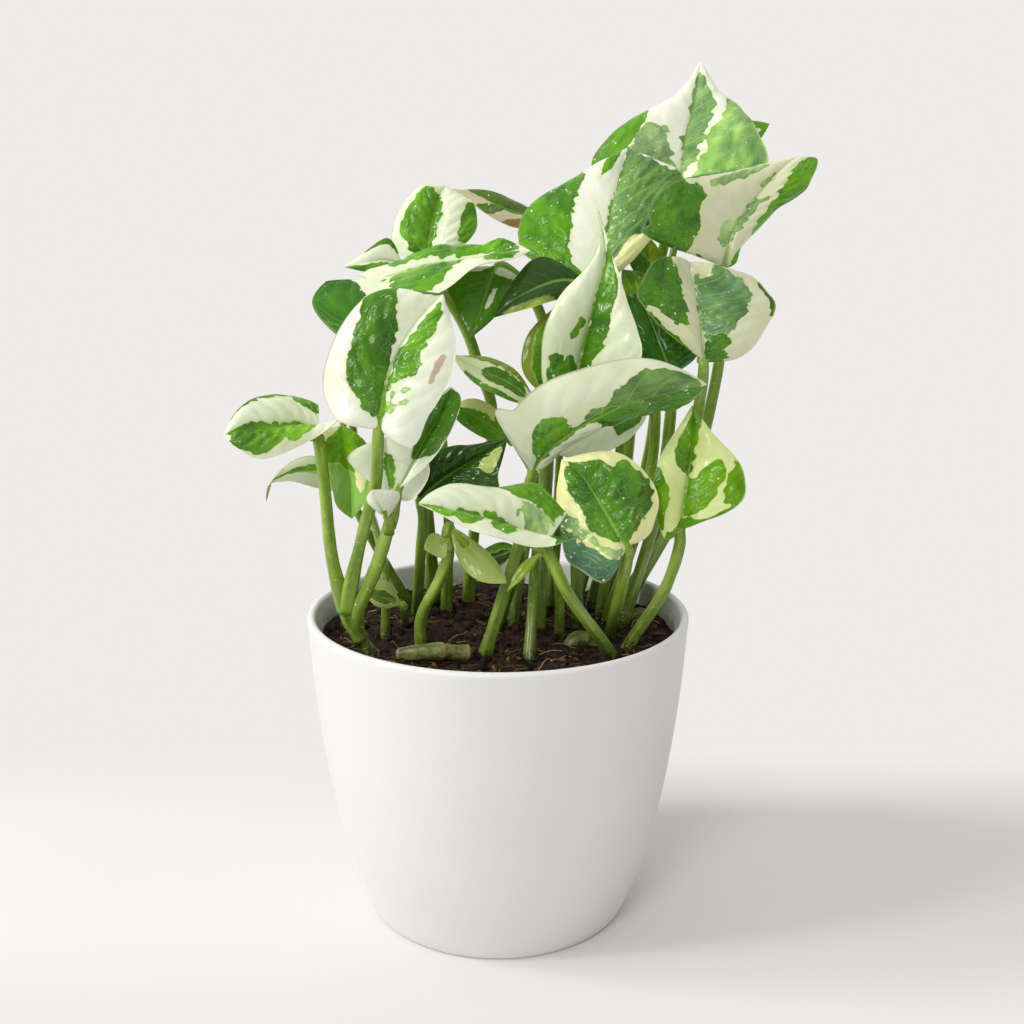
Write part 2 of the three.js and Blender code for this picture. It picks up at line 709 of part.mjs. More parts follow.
// A blade of even thickness; its two faces are split into triangles alike.
function bladeSolid(leaf) {
  const surface = bladeSurface(leaf);
  const rows = leaf.small ? SMALL_BLADE_ROWS : BLADE_ROWS;
  const half = leaf.small ? SMALL_BLADE_HALF_COLUMNS : BLADE_HALF_COLUMNS;
  const columns = 2 * half;
  const positions = [];
  const ids = [];
  for (let i = 0; i <= rows; i += 1) {
    const even = i / rows;
    const crowded = (1 - Math.cos(Math.PI * even)) / 2;
    const s = EVEN_ROWS * even + (1 - EVEN_ROWS) * crowded;
    const row = [];
    for (let j = 0; j <= columns; j += 1) {
      const r = (j - half) / half;
      const pointed = s === 1 || (s === 0 && leaf.ribs[0].s > 0);
      const normal = bladeNormal(surface, s, pointed ? 0 : r);
      const point = surface(s, pointed ? 0 : r);
      const pair = [];
      for (const side of [0.5, -0.5]) {
        const skin = point.clone().addScaledVector(normal, side * BLADE_THICK);
        pair.push(positions.length / 3);
        positions.push(skin.x, skin.y, skin.z);
      }
      row.push(pair);
    }
    ids.push(row);
  }
  const corners = [];
  const quad = (a, b, c, d) => corners.push(a, b, c, a, c, d);
  for (let i = 0; i < rows; i += 1) {
    for (let j = 0; j < columns; j += 1) {
      const [a, b, c, d] = [ids[i][j], ids[i][j + 1], ids[i + 1][j + 1], ids[i + 1][j]];
      corners.push(a[0], b[0], c[0], a[0], c[0], d[0]);
      corners.push(a[1], c[1], b[1], a[1], d[1], c[1]);
    }
    const [l0, l1] = [ids[i][0], ids[i + 1][0]];
    const [r0, r1] = [ids[i][columns], ids[i + 1][columns]];
    quad(l0[1], l0[0], l1[0], l1[1]);
    quad(r0[0], r0[1], r1[1], r1[0]);
  }
  for (let j = 0; j < columns; j += 1) {
    const [a, b] = [ids[0][j], ids[0][j + 1]];
    const [c, d] = [ids[rows][j], ids[rows][j + 1]];
    quad(a[1], b[1], b[0], a[0]);
    quad(c[0], d[0], d[1], c[1]);
  }
  const geometry = new THREE.BufferGeometry();
  geometry.setAttribute('position', new THREE.Float32BufferAttribute(positions, 3));
  geometry.setIndex(corners);
  return weld(geometry);
}

// A round stem along a smooth line, with flat ends.
function stemSolid(points, radius) {
  const path = new THREE.CatmullRomCurve3(points, false, 'centripetal');
  const outline = new THREE.Shape();
  for (let k = 0; k <= STALK_SIDES; k += 1) {
    const angle = (2 * Math.PI * (k % STALK_SIDES)) / STALK_SIDES;
    const x = radius * Math.cos(angle);
    const y = radius * Math.sin(angle);
    if (k === 0) outline.moveTo(x, y);
    else outline.lineTo(x, y);
  }
  const steps = Math.max(3, Math.round(path.getLength() / STALK_STEP));
  return weld(new THREE.ExtrudeGeometry(outline, { steps, bevelEnabled: false, extrudePath: path }));
}

// The line of a stem, sunk into the soil by the given depth when it is rooted.
function sunkLine(line, rooted, depth) {
  const points = line.map(vector);
  if (!rooted) return points;
  const foot = points[points.length - 1];
  const before = points[points.length - 2];
  const slant = foot.clone().sub(before);
  const down = slant.multiplyScalar(ROOT_SLANT * depth / Math.abs(slant.z));
  points.push(new THREE.Vector3(foot.x + down.x, foot.y + down.y, foot.z - depth));
  return points;
}

// The pot's side from foot to rim, moved inwards by the inset.
function potProfile(inset) {
  return POT_SIDE.map(([height, radius]) => new THREE.Vector2(radius - inset, height));
}

// A solid turned about the upright axis.
function turned(profile) {
  const geometry = new THREE.LatheGeometry(profile, POT_SIDES);
  return weld(geometry.rotateX(Math.PI / 2));
}

function potSolid() {
  const lip = POT_WALL / 2;
  const bevelIn = RIM_BEVEL_IN * lip;
  const bevelTop = POT_HEIGHT - RIM_BEVEL_DOWN * lip;
  const profile = [
    new THREE.Vector2(0, 0),
    new THREE.Vector2(POT_BASE_RADIUS - FOOT_CHAMFER, 0),
    new THREE.Vector2(POT_BASE_RADIUS + FOOT_SPREAD, FOOT_CHAMFER),
    ...potProfile(0),
    new THREE.Vector2(POT_RIM_RADIUS, POT_HEIGHT - lip),
    new THREE.Vector2(POT_RIM_RADIUS - bevelIn, bevelTop),
    new THREE.Vector2(POT_RIM_RADIUS - lip, POT_HEIGHT),
    new THREE.Vector2(POT_RIM_RADIUS - POT_WALL + bevelIn, bevelTop),
    new THREE.Vector2(POT_RIM_RADIUS - POT_WALL, POT_HEIGHT - lip),
    ...potProfile(POT_WALL).filter((point) => point.y > POT_FLOOR + FLOOR_CLEAR).reverse(),
    new THREE.Vector2(POT_SIDE[0][1] - POT_WALL, POT_FLOOR),
    new THREE.Vector2(0, POT_FLOOR),
  ];
  return turned(profile);
}

// The radius of the pot's hollow at a height.
function innerRadius(height) {
  const side = [...POT_SIDE, [POT_HEIGHT, POT_RIM_RADIUS]];
  const k = side.findIndex(([z]) => z >= height);
  const [z0, r0] = side[k - 1];
  const [z1, r1] = side[k];
  return r0 + ((r1 - r0) * (height - z0)) / (z1 - z0) - POT_WALL;
}

// The soil fills the pot with a small gap and has a plain hole for each stem.
function soilSolid(holes) {
  const low = POT_FLOOR + SOIL_GAP;
  const side = POT_SIDE.map(([height]) => height).filter((height) => height > low + FLOOR_CLEAR);
  const heights = [...side, SOIL_TOP];
  const profile = [
    new THREE.Vector2(0, low),
    new THREE.Vector2(POT_SIDE[0][1] - POT_WALL - SOIL_GAP, low),
    ...heights.map((height) => new THREE.Vector2(innerRadius(height) - SOIL_GAP, height)),
    new THREE.Vector2(SOIL_SHOULDER * POT_RIM_RADIUS, SOIL_TOP + SOIL_SHOULDER * SOIL_DOME),
    new THREE.Vector2(0, SOIL_TOP + SOIL_DOME),
  ];
  return turned(profile).subtract(Manifold.union(holes));
}

// The pieces joined, without the pockets and slivers left where they cross.
function outerBody(pieces) {
  const bodies = Manifold.union(pieces).simplify(SLIVER).decompose();
  return bodies.reduce((best, body) => (body.volume() > best.volume() ? body : best));
}

// A solid as a mesh with its name and look.
function named(solid, name, [colour, roughness]) {
  const { vertProperties, triVerts, numProp } = solid.getMesh();
  const positions = [];
  for (let i = 0; i < vertProperties.length; i += numProp) {
    positions.push(vertProperties[i], vertProperties[i + 1], vertProperties[i + 2]);
  }
  const geometry = new THREE.BufferGeometry();
  geometry.setAttribute('position', new THREE.Float32BufferAttribute(positions, 3));
  geometry.setIndex(Array.from(triVerts));
  geometry.computeVertexNormals();
  const material = new THREE.MeshStandardMaterial({ color: colour, roughness, metalness: 0 });
  const mesh = new THREE.Mesh(geometry, material);
  mesh.name = name;
  return mesh;
}

// The pieces of every leafy stem by node name, and the holes in the soil.
const plant = new Map();
const holes = [];

function addStem(node, line, radius, rooted) {
  if (!plant.has(node)) plant.set(node, []);
  plant.get(node).push(stemSolid(sunkLine(line, rooted, ROOT_DEPTH), radius));
  if (rooted) {
    holes.push(stemSolid(sunkLine(line, rooted, ROOT_DEPTH + STEM_GAP), radius + STEM_GAP));
  }
}

for (const leaf of Object.values(LEAVES)) {
  const radius = leaf.stalk ?? (leaf.small ? SMALL_STALK_RADIUS : STALK_RADIUS);
  const base = vector(leaf.base);
  const inside = bladeSurface(leaf)(STALK_AIMS_AT, 0).sub(base).setLength(STALK_INTO_BLADE).add(base);
  addStem(leaf.node, [inside.toArray(), leaf.base, ...leaf.petiole], radius, leaf.rooted);
  plant.get(leaf.node).push(bladeSolid(leaf));
}
for (const { node, line, radius, rooted } of SHOOTS) addStem(node, line, radius, rooted);

const part = new THREE.Group();
part.name = 'potted_njoy_pothos';
part.add(named(potSolid(), 'pot', COLOURS.pot));
for (const [node, pieces] of plant) part.add(named(outerBody(pieces), node, COLOURS.leaf));
for (const { node, line, radius } of LYING_STEMS) {
  const points = line.map(vector);
  part.add(named(stemSolid(points, radius), node, COLOURS.stem));
  holes.push(stemSolid(points, radius + STEM_GAP));
}
part.add(named(soilSolid(holes), 'soil', COLOURS.soil));

export default part;
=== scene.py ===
# Looks of a njoy pothos in a plain white pot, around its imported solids.
# Sizes in the tables are in mm, as in the part's source; meshes are in metres.
import math

import bpy
import numpy as np
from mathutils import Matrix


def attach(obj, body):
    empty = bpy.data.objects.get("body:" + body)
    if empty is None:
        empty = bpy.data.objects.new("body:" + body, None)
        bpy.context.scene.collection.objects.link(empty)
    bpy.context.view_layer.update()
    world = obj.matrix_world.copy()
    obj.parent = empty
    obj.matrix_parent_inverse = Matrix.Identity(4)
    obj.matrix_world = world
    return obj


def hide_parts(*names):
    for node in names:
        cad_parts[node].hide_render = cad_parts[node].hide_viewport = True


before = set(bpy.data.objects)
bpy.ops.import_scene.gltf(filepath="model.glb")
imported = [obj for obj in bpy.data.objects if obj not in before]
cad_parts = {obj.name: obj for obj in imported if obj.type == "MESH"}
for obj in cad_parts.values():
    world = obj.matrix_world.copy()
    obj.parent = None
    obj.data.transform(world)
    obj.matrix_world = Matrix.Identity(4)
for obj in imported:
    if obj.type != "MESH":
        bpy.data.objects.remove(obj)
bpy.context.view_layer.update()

MM = 0.001
FULL_TURN = 2 * np.pi

# Camera, fitted to the photograph: its tilt below level, its distance from
# the upright axis, the height it looks at, and its focal length in pixels.
IMAGE = 1024
TILT = 13.3
DISTANCE = 0.455
LOOK_HEIGHT = 0.1512
FOCAL_PIXELS = 1250
MIDDLE_PIXEL = 498
SENSOR_WIDTH = 36

# Pot, as in the solids, with a finer foot: it stands on a ring round a hollow.
POT_HEIGHT = 115
POT_WALL = 3
POT_FLOOR = 5
FLOOR_CLEAR = 2
POT_BASE_RADIUS = 49
POT_RIM_RADIUS = 70
POT_SIDE = [(4, 50.5), (12, 53.4), (26, 57.8), (48, 62.6), (80, 67.2)]
POT_SEGMENTS = 160
POT_ROWS = 44
RIM_POINTS = 11
FOOT_ROUND = 1.2
FOOT_SPREAD = 0.1
FOOT_STEPS = 5
FOOT_RING = 7.5
FOOT_BEVEL = 1.5
FOOT_HOLLOW = 0.9
# A place this far inside the side and above the floor belongs to the inner wall.
INNER_DEPTH = 0.9
INNER_START = 4.5

# Soil: its level drops towards the wall and rises round each stalk.
SOIL_TOP = 105
SOIL_RADIUS = 65.9
SOIL_BOTTOM = 90
SOIL_WAIST = 98
SOIL_WAIST_PART = 0.985
SOIL_RINGS = 110
SOIL_SECTORS = 300
SOIL_MIDDLE_RISE = 0.6
SOIL_EDGE_DROP = 0.9
SOIL_EDGE = (52, 66)
MOUND_HEIGHT = 0.9
MOUND_RADIUS = 3.6
# Height and width of the peat's bumps, from broad to fine
SOIL_BUMPS = [(0.9, 11), (0.75, 4.3), (0.5, 1.9), (0.25, 0.9)]
SOIL_SEED = 41
CRUMBS = 900
CRUMBS_ROUND_STALK = 7
CRUMB_FROM_STALK = 2.6
LARGE_CRUMB = 1.9
CRUMB_SHADES = [(14, 10, 7), (28, 20, 14), (46, 32, 22), (78, 52, 34), (120, 86, 54), (160, 128, 88)]
CRUMB_ODDS = [0.34, 0.3, 0.2, 0.1, 0.05, 0.01]
CHIPS = 90
CHIP_SHADES = [(54, 36, 24), (92, 62, 40), (124, 84, 54)]
FIBRES = 240
FIBRE_POINTS = 7
FIBRE_STEP = 2.3
FIBRE_SHADES = [(150, 108, 62), (206, 170, 112), (74, 52, 34), (48, 34, 24), (96, 66, 40)]

# Blades, as in the solids
CROWN = 2.2
SMALL_CROWN = 1.0
WAVE = 0.6
SMALL_WAVE = 0.25
WAVES_PER_BLADE = 2.4
LEFT_WAVE_START = 0.1
RIGHT_WAVE_START = 0.55
FULL_RELIEF_WIDTH = 25
STEP_MIDRIB = 0.02

# The blades' fine grid: rows, and columns on each side of the midrib
BLADE_GRID = (96, 36)
SMALL_BLADE_GRID = (48, 18)
EVEN_ROWS = 0.45
COLUMN_CROWDING = 1.3
EDGE_THICK = 0.3
MIDDLE_THICK = 0.6
SMALL_THIN = 0.8

# The blades' fine relief, as heights in mm; a small leaf has half of each.
SMALL_RELIEF = 0.5
SIDE_VEINS = 8
VEIN_SLANT = 0.26
LEFT_VEIN_START = 0.45
FOLD_HEIGHT = 0.3
PUCKER_HEIGHT = 0.12
GREEN_PUCKER_HEIGHT = 0.7
GREEN_RISE = 0.25
NET_LENGTH = 6
PUCKER_LENGTH = 4.4
# Height and length of the broad waves, and of the edge's waves
BROAD_WAVE = (0.35, 14)
EDGE_WAVES = [(0.55, 8.5), (0.25, 3.7)]
EVEN_WIDTH = 12
RIB_WIDTH = 0.75
RIB_GROOVE = 0.42
RIB_BELOW = 0.95
SMALL_RIB_BELOW = 0.5

# Marks are drawn on the blade laid flat, at this part of its greatest width.
FLAT_PART = 0.85
FAR_OUTSIDE = -30
# Flat width of a blade whose marks have edges as ragged as they get
FULL_RAGGED_WIDTH = 42
LEAST_RAGGED = 0.3

# Stalks
STALK_RADIUS = 2.1
SMALL_STALK_RADIUS = 1.5
STALK_INTO_BLADE = 3
STALK_AIMS_AT = 0.12
ROOT_DEPTH = 14
ROOT_SLANT = 0.5
STALK_STEP = 1.8
UPWARDS = (0, 0.3, 1)
# A stalk's section, in parts of its radius: a channel along its upper side
# with a ridge on each side of it (widths and places as angles), a knee under
# the blade and a thicker foot (places as parts of its length).
CHANNEL_DEPTH, CHANNEL_WIDTH = 0.2, 0.45
RIDGE_HEIGHT, RIDGE_WIDTH, RIDGE_PLACE = 0.12, 0.3, 0.8
KNEE_HEIGHT, KNEE_WIDTH, KNEE_PLACE = 0.06, 0.04, 0.14
FOOT_SWELL, FOOT_STARTS, FOOT_FULL = 0.3, 0.7, 0.92
# The stalk goes on as a rib under the blade, to this part of its length.
RIB_END = 0.4
RIB_POINTS = 16
RIB_START_THICK = 0.22
RIB_GAIN = 0.6

# An old stem's joint: its place along the stem and its slant across it
JOINT = 0.6
JOINT_SLANT = 0.035
CUT_END = 0.965


def new_leaf(node, tone, *marks, small=False, rooted=True, radius=None, **measures):
    """A leaf's looks and measures, with the usual radius for a stalk that has none."""
    usual = SMALL_STALK_RADIUS if small else STALK_RADIUS
    return dict(node=node, tone=tone, marks=marks, small=small, rooted=rooted,
                radius=radius or usual, **measures)


# Every leaf: its node, the tone of its blade and the marks on it, each a tone
# and an outline of (r, s). r runs from -1 at the left edge to 1 at the right
# edge, and s from base to tip. Then the base and tip of the blade, ribs across
# it at s (left edge, midrib, right edge), and the stalk from the blade down.
LEAVES = [
    new_leaf(
        "leaf_top_right", "painted_lit_cream",
        ("grey", (-.62, .48), (-.5, .52), (-.32, .5), (-.25, .42), (-.15, .32), (-.1, .2), (-.3, .12),
            (-.6, .2)),
        ("soft", (-.02, .5), (.27, .5), (.15, .3), (.08, .2), (0, .2)),
        ("mid", (-1.1, .67), (-.85, .62), (-.72, .55), (-.66, .45), (-.65, .35), (-.7, .2), (-1.1, .1)),
        ("soft", (-.15, .92), (.3, .92), (.45, .8), (.38, .6), (.24, .44), (0, .42), (-.02, .6)),
        # This mark's bright yellow-green is painted light shining through the blade.
        ("painted_lit_green", (.2, .05), (.2, .22), (.3, .4), (.45, .5), (.6, .6), (.75, .73), (1.1, .78), (1.1, 0)),
        base=(69, 46, 263.5), tip=(80.5, 82, 316),
        ribs=[(0.22, (37, 44, 272), (70.5, 53, 274.5), (99.5, 44, 272)),
              (0.45, (43, 60, 286), (73, 62, 286.5), (100, 60, 288.5)),
              (0.64, (57.5, 68, 296), (76, 69, 296.5), (96, 68, 295.5)),
              (0.82, (69.5, 75, 302), (78.5, 76, 306), (89, 75, 303))],
        stalk=[(66, 44, 256.5), (59, 42, 224.5), (53, 40, 186.5), (48.5, 36, 147.5), (37, 30, 105)]),
    new_leaf(
        "leaf_behind_top_right", "mid",
        ("cream", (-.2, .2), (.2, .2), (.3, .8), (-.1, .8)),
        base=(84.5, 69, 280.5), tip=(107.5, 74, 291.5),
        ribs=[(0.45, (94.5, 74, 291.5), (96, 72, 286), (98, 70, 281))],
        stalk=[(79, 66, 276.5), (65.5, 57, 224), (60, 50, 165), (44.5, 43.5, 105)], small=True),
    new_leaf(
        "leaf_upper_right", "aged_and_shaded_cream",
        ("grey", (-.95, .8), (-.6, .82), (-.5, .75), (-.55, .6), (-.7, .5)),
        ("grey", (0, .15), (.1, .2), (.2, .3), (.27, .45), (.3, .56), (.15, .5), (0, .6)),
        ("grey", (-.15, .65), (-.12, .8), (0, .8), (.03, .7)),
        ("pale", (-.15, .1), (-.12, .35), (0, .35), (0, .1)),
        ("dark", (-1.1, .5), (-.75, .48), (-.55, .42), (-.5, .3), (-.45, .15), (-.5, .05), (-1.1, .03)),
        ("dark", (-1.1, .48), (-.95, .5), (-.93, .9), (-1.1, .95)),
        ("mid", (.42, .82), (.42, .68), (.55, .5), (.62, .35), (.8, .27), (1.1, .25), (1.1, .95),
            (.6, .87)),
        ("mid", (.4, .08), (.6, .13), (1.1, .15), (1.1, .03), (.5, .03)),
        base=(82.5, 24, 238), tip=(110, 34, 277),
        ribs=[(0.05, (58, 10, 246.5), (83, 22, 242), (86, 25, 238)),
              (0.18, (53.5, 8, 254), (84.5, 22, 248.5), (89.5, 26, 245.5)),
              (0.42, (60, 14, 266.5), (89.5, 24, 257), (101, 28, 257.5)),
              (0.72, (87.5, 30, 272.5), (98, 28, 267.5), (114.5, 32, 267.5)),
              (0.88, (101, 34, 275.5), (104, 31, 273), (117.5, 35, 277))],
        stalk=[(82.5, 25, 235), (84, 28, 214.5), (81, 28, 188), (71.5, 27, 149.5), (50.5, 33, 105)]),
    new_leaf(
        "leaf_centre_top", "painted_lit_cream",
        ("sage", (0, .3), (0, .95), (.3, 1), (1.1, 1), (1.1, .3), (.8, .25), (.5, .28), (.3, .12),
            (.1, .2)),
        ("green", (-1.1, 0), (-.5, .05), (-.42, .15), (-.42, .3), (-.45, .45), (-.5, .6), (-.6, .7),
            (-.7, .75), (-1.1, .8)),
        ("green", (-1.1, 1), (-.35, .95), (-.3, .85), (-.35, .72), (-.45, .8), (-.8, .9), (-1.1, .86)),
        ("lemon", (.4, .1), (.45, .25), (.7, .28), (1.1, .27), (1.1, .08)),
        ("cream", (.75, .93), (.9, .9), (1, .8), (.95, .72), (.75, .88)),
        base=(37, 10, 231), tip=(48, 40, 280.5),
        ribs=[(0.12, (13.5, 14, 240), (37.5, 13, 237), (47, 12, 240)),
              (0.3, (7.5, 20, 248.5), (39.5, 18, 246.5), (58, 17, 252)),
              (0.58, (14.5, 29, 262.5), (42, 26, 261), (67.5, 27, 266.5)),
              (0.82, (33, 34, 273), (45.5, 34, 272), (63, 30, 274))],
        stalk=[(37, 14, 225), (38.5, 22, 204), (39.5, 27, 169), (37, 29, 133), (29, 25, 105)]),
    new_leaf(
        "leaf_right_heart", "aged_and_shaded_cream",
        ("dark", (-1.1, .95), (-.5, .88), (-.35, .8), (-.3, .6), (-.28, .45), (-.35, .35), (-.5, .3),
            (-.7, .35), (-.85, .45), (-1.1, .5)),
        ("dark", (-1.1, .1), (-.92, .12), (-.92, .4), (-1.1, .42)),
        ("haze", (.02, .2), (.02, .75), (.15, .85), (.3, .9), (.6, .9), (.72, .8), (.65, .65), (.6, .5),
            (.5, .35), (.35, .22)),
        ("dark", (.05, .2), (.3, .24), (.55, .25), (.5, .15), (1.05, .08), (1.05, .02), (.05, .05)),
        ("dark", (.93, .5), (.93, .8), (1.1, .8), (1.1, .5)),
        base=(72.5, -2, 206), tip=(68, 11, 240),
        ribs=[(0.15, (65, -3, 212), (72, -1, 212), (84, 1, 207)),
              (0.42, (51, -4, 224.5), (71.5, 3, 221), (96, 5, 218.5)),
              (0.72, (49.5, -2, 233), (70, 8, 231), (97.5, 11, 228)),
              (0.9, (57, 0, 242), (68, 9, 237.5), (86, 13, 237))],
        stalk=[(72.5, -2, 202.5), (72.5, 4, 191.5), (69.5, 12, 164.5), (60, 20, 133.5), (45, 19, 105)]),
    new_leaf(
        "leaf_centre_upright", "cream",
        ("dark", (-.95, .05), (-.9, .15), (-.8, .25), (-.65, .3), (-.5, .27), (-.45, .23), (-.3, .27),
            (-.1, .2), (0, .15), (0, .05)),
        ("dark", (.02, .1), (.15, .2), (.3, .27), (.35, .35), (.42, .45), (.5, .53), (.75, .65), (.8, .75),
            (1.05, .8), (1.05, .86), (.5, .82), (0, .78)),
        ("mid", (-.35, .36), (-.25, .45), (-.15, .44), (-.2, .36)),
        base=(27, -4, 194), tip=(34.5, 4, 258.5),
        ribs=[(0.12, (17.5, -9, 196.5), (27.5, -3, 200.5), (44.5, -9, 197.5)),
              (0.3, (15, -9, 210), (30, -2, 212), (49.5, -11, 209)),
              (0.55, (19.5, -6, 226), (34, -2, 228.5), (45.5, -8, 224.5)),
              (0.8, (34.5, 0, 244.5), (37.5, 2, 244.5), (39.5, -2, 243.5))],
        stalk=[(27, 0, 189.5), (27.5, 5, 173), (28.5, 8, 146.5), (30, 5.5, 105)]),
    new_leaf(
        "leaf_centre_wide", "cream",
        ("sage", (-.85, .95), (-.8, .75), (-.65, .65), (-.4, .58), (-.2, .52), (0, .5), (0, .95)),
        ("sage", (-.28, .42), (-.1, .5), (0, .45), (0, .38), (-.15, .38)),
        ("mid", (-.6, .15), (-.5, .25), (-.35, .3), (-.1, .28), (0, .3), (0, .05), (-.4, .1)),
        ("dark", (0, .42), (0, 1), (1.1, 1), (1.1, .45), (.6, .42)),
        ("mid", (-.07, -.05), (-.05, .6), (.06, .6), (.08, -.05)),
        base=(12, -18, 169), tip=(71.5, -16, 200),
        ribs=[(0.04, (1, -24, 187), (13.5, -19, 172.5), (17.5, -12, 172)),
              (0.14, (5.5, -26, 193), (18.5, -20, 178.5), (22.5, -12, 176.5)),
              (0.3, (14.5, -27, 201), (26.5, -21, 185), (30.5, -12, 181.5)),
              (0.6, (36.5, -28, 209), (45.5, -22, 194.5), (50, -12, 189)),
              (0.85, (57.5, -24, 208), (63.5, -19, 198.5), (66, -10, 192.5))],
        stalk=[(10.5, -18, 163.5), (7.5, -22, 146.5), (-5, -29.5, 105)]),
    new_leaf(
        "leaf_below_wide", "cream",
        ("dark", (-.75, .25), (-.6, .48), (-.25, .46), (-.2, .28), (-.45, .22)),
        base=(55.5, 4, 195.5), tip=(19.5, -8, 174.5),
        ribs=[(0.35, (49.5, -4, 181.5), (43.5, -2, 188), (38, -4, 192)),
              (0.7, (32.5, -8, 172.5), (30.5, -5, 179.5), (28.5, -5, 182))],
        stalk=[(56.5, 6, 191.5), (57, 8, 172.5), (52, 4, 147), (41, 8, 105)]),
    new_leaf(
        "leaf_front_right", "lemon",
        ("dark", (0, .03), (-.2, .08), (-.35, .25), (-.45, .4), (-.35, .5), (-.5, .6), (-.55, .75),
            (-.6, .9), (-.25, .88), (0, .9), (.15, .93), (.3, .85), (.45, .8), (.6, .75), (.55, .68),
            (.85, .65), (.9, .55), (.95, .45), (.85, .3), (.75, .2), (.6, .15), (.45, .1), (.3, .03)),
        # This lobe's blue-green is a painted reflection of the sky on the glossy blade.
        ("blue", (-1.1, .5), (-.8, .42), (-.68, .32), (-.58, .2), (-.56, .05), (-1.1, 0)),
        ("moss", (.15, .05), (.2, .3), (.35, .52), (.9, .55), (.95, .42), (.75, .2), (.45, .1)),
        ("pale", (-1.1, .62), (-.75, .55), (-.58, .42), (-.45, .28), (-.4, .14), (-.4, .03), (-.54, .03),
            (-.56, .2), (-.66, .33), (-.8, .44), (-1.1, .52)),
        base=(43, -40, 149), tip=(21.5, -28, 176),
        ribs=[(0.06, (37.5, -46, 140), (40.5, -40, 152), (48.5, -36, 150)),
              (0.2, (26.5, -44, 142.5), (38, -38, 156), (53, -32, 157.5)),
              (0.5, (21, -36, 154), (33, -34, 164), (51.5, -28, 169.5)),
              (0.78, (20, -30, 166.5), (27.5, -30, 171.5), (38, -26, 178.5))],
        stalk=[(43.5, -38, 145), (41.5, -30, 127), (40.5, -8, 105)]),
    new_leaf(
        "leaf_right_low", "limecream",
        ("vivid", (0, .98), (-.35, .9), (-.6, .75), (-.55, .6), (-.3, .5), (0, .42), (.04, .45), (.05, .65),
            (.2, .73), (.5, .83), (1.1, .9), (1.1, .8), (1.1, 1.05), (-.5, 1.05)),
        ("vivid", (.02, .12), (.02, .4), (.12, .38), (.25, .5), (.5, .56), (.65, .52), (.6, .42),
            (.45, .35), (.45, .2), (.3, .12)),
        ("vivid", (.6, .33), (.72, .48), (1.1, .62), (1.1, .06), (.85, .08), (.92, .3), (.72, .25)),
        ("vivid", (-1.1, .55), (-.85, .5), (-.65, .38), (-.55, .25), (-1.1, .15)),
        ("vivid", (-1.1, .12), (-.2, .08), (.2, .08), (1.1, .1), (1.1, -.05), (-1.1, -.05)),
        base=(63.5, -20, 149.5), tip=(68, -8, 191.5),
        ribs=[(0.08, (59, -24, 147), (64, -19, 153), (71.5, -24, 153.5)),
              (0.25, (54.5, -22, 156.5), (65, -17, 159.5), (83.5, -20, 158.5)),
              (0.5, (54.5, -18, 170.5), (67, -13, 171), (85.5, -16, 169.5)),
              (0.8, (62.5, -10, 183), (68.5, -10, 183), (73.5, -12, 184))],
        stalk=[(63.5, -20, 144), (58.5, -22, 128.5), (45.5, -20, 105)]),
    # The big front leaf of the shoot at the front left
    new_leaf(
        "stem_front_left", "painted_lit_cream",
        ("dark", (-.02, .12), (-.25, .1), (-.45, .2), (-.6, .35), (-.72, .48), (-.78, .58), (-.9, .66),
            (-1.1, .75), (-1.1, .87), (-.8, .8), (-.6, .78), (-.4, .72), (-.25, .66), (-.12, .55),
            (-.05, .42), (-.02, .28)),
        ("mid", (.02, .22), (.05, .25), (.15, .32), (.36, .36), (.42, .46), (.38, .55), (.5, .66), (.6, .8),
            (.55, .9), (.4, .9), (.25, .82), (.18, .7), (.05, .55), (.02, .45)),
        ("bright", (-.07, -.05), (-.06, .2), (.05, .26), (.07, -.05)),
        ("pale", (.1, .13), (.12, .22), (.25, .25), (.22, .15)),
        ("pale", (.36, .22), (.38, .28), (.46, .27), (.44, .22)),
        ("dark", (-1.1, .86), (-1.1, 1.05), (-.3, 1.0), (-.5, .93)),
        ("scar", (.7, .36), (.725, .44), (.76, .52), (.8, .53), (.775, .45), (.735, .37)),
        base=(-38.5, -44, 189), tip=(-18, -28, 231),
        ribs=[(0.06, (-47, -46, 190.5), (-38, -43, 192), (-30.5, -46, 184)),
              (0.22, (-55.5, -44, 199), (-37, -40, 200), (-22, -42, 193.5)),
              (0.48, (-53, -38, 217), (-33, -36, 212.5), (-14.5, -38, 208)),
              (0.78, (-38, -32, 233), (-25, -31, 224.5), (-15, -32, 223))],
        stalk=[(-39, -43, 183.5), (-40.5, -38, 169.5), (-45.5, -33, 152.5), (-50.5, -28, 133.5),
               (-53.5, -26, 121.5)], rooted=False),
    # Its far-left leaf
    new_leaf(
        "stem_front_left", "cream",
        ("mid", (-.95, .92), (-.5, .86), (0, .97), (.1, .8), (.14, .55), (.05, .4), (-.6, .38), (-.75, .5),
            (-.9, .65)),
        ("bright", (-.8, .42), (-.5, .18), (0, .13), (.1, .22), (.02, .38)),
        ("dark", (.93, .2), (.93, .85), (1.1, .9), (1.1, .1)),
        ("mid", (.5, 0), (.62, .2), (.75, .3), (1.1, .32), (1.1, 0)),
        base=(-61, -26, 184.5), tip=(-89.5, -40, 186),
        ribs=[(0, (-53, -30, 190), (-61, -26, 184.5), (-61, -22, 194)),
              (0.25, (-60, -33, 185), (-68, -28, 187.5), (-67.5, -20, 196)),
              (0.55, (-75.5, -40, 178.5), (-78, -34, 188), (-80, -26, 196.5)),
              (0.8, (-84, -42, 182), (-85, -38, 188), (-86, -34, 193))],
        stalk=[(-60.5, -26, 181.5), (-59, -27, 165.5), (-57.5, -26, 142),
               (-53.5, -26, 121.5)], rooted=False),
    new_leaf(
        "leaf_left_drooping", "cream",
        ("mid", (-.4, .88), (-.2, .8), (.2, .36), (.42, .4), (.1, .72), (-.2, .92)),
        ("brown", (-1.1, .9), (1.1, .9), (1.1, 1.1), (-1.1, 1.1)),
        base=(-55.5, 2, 158), tip=(-83, -6, 156.5),
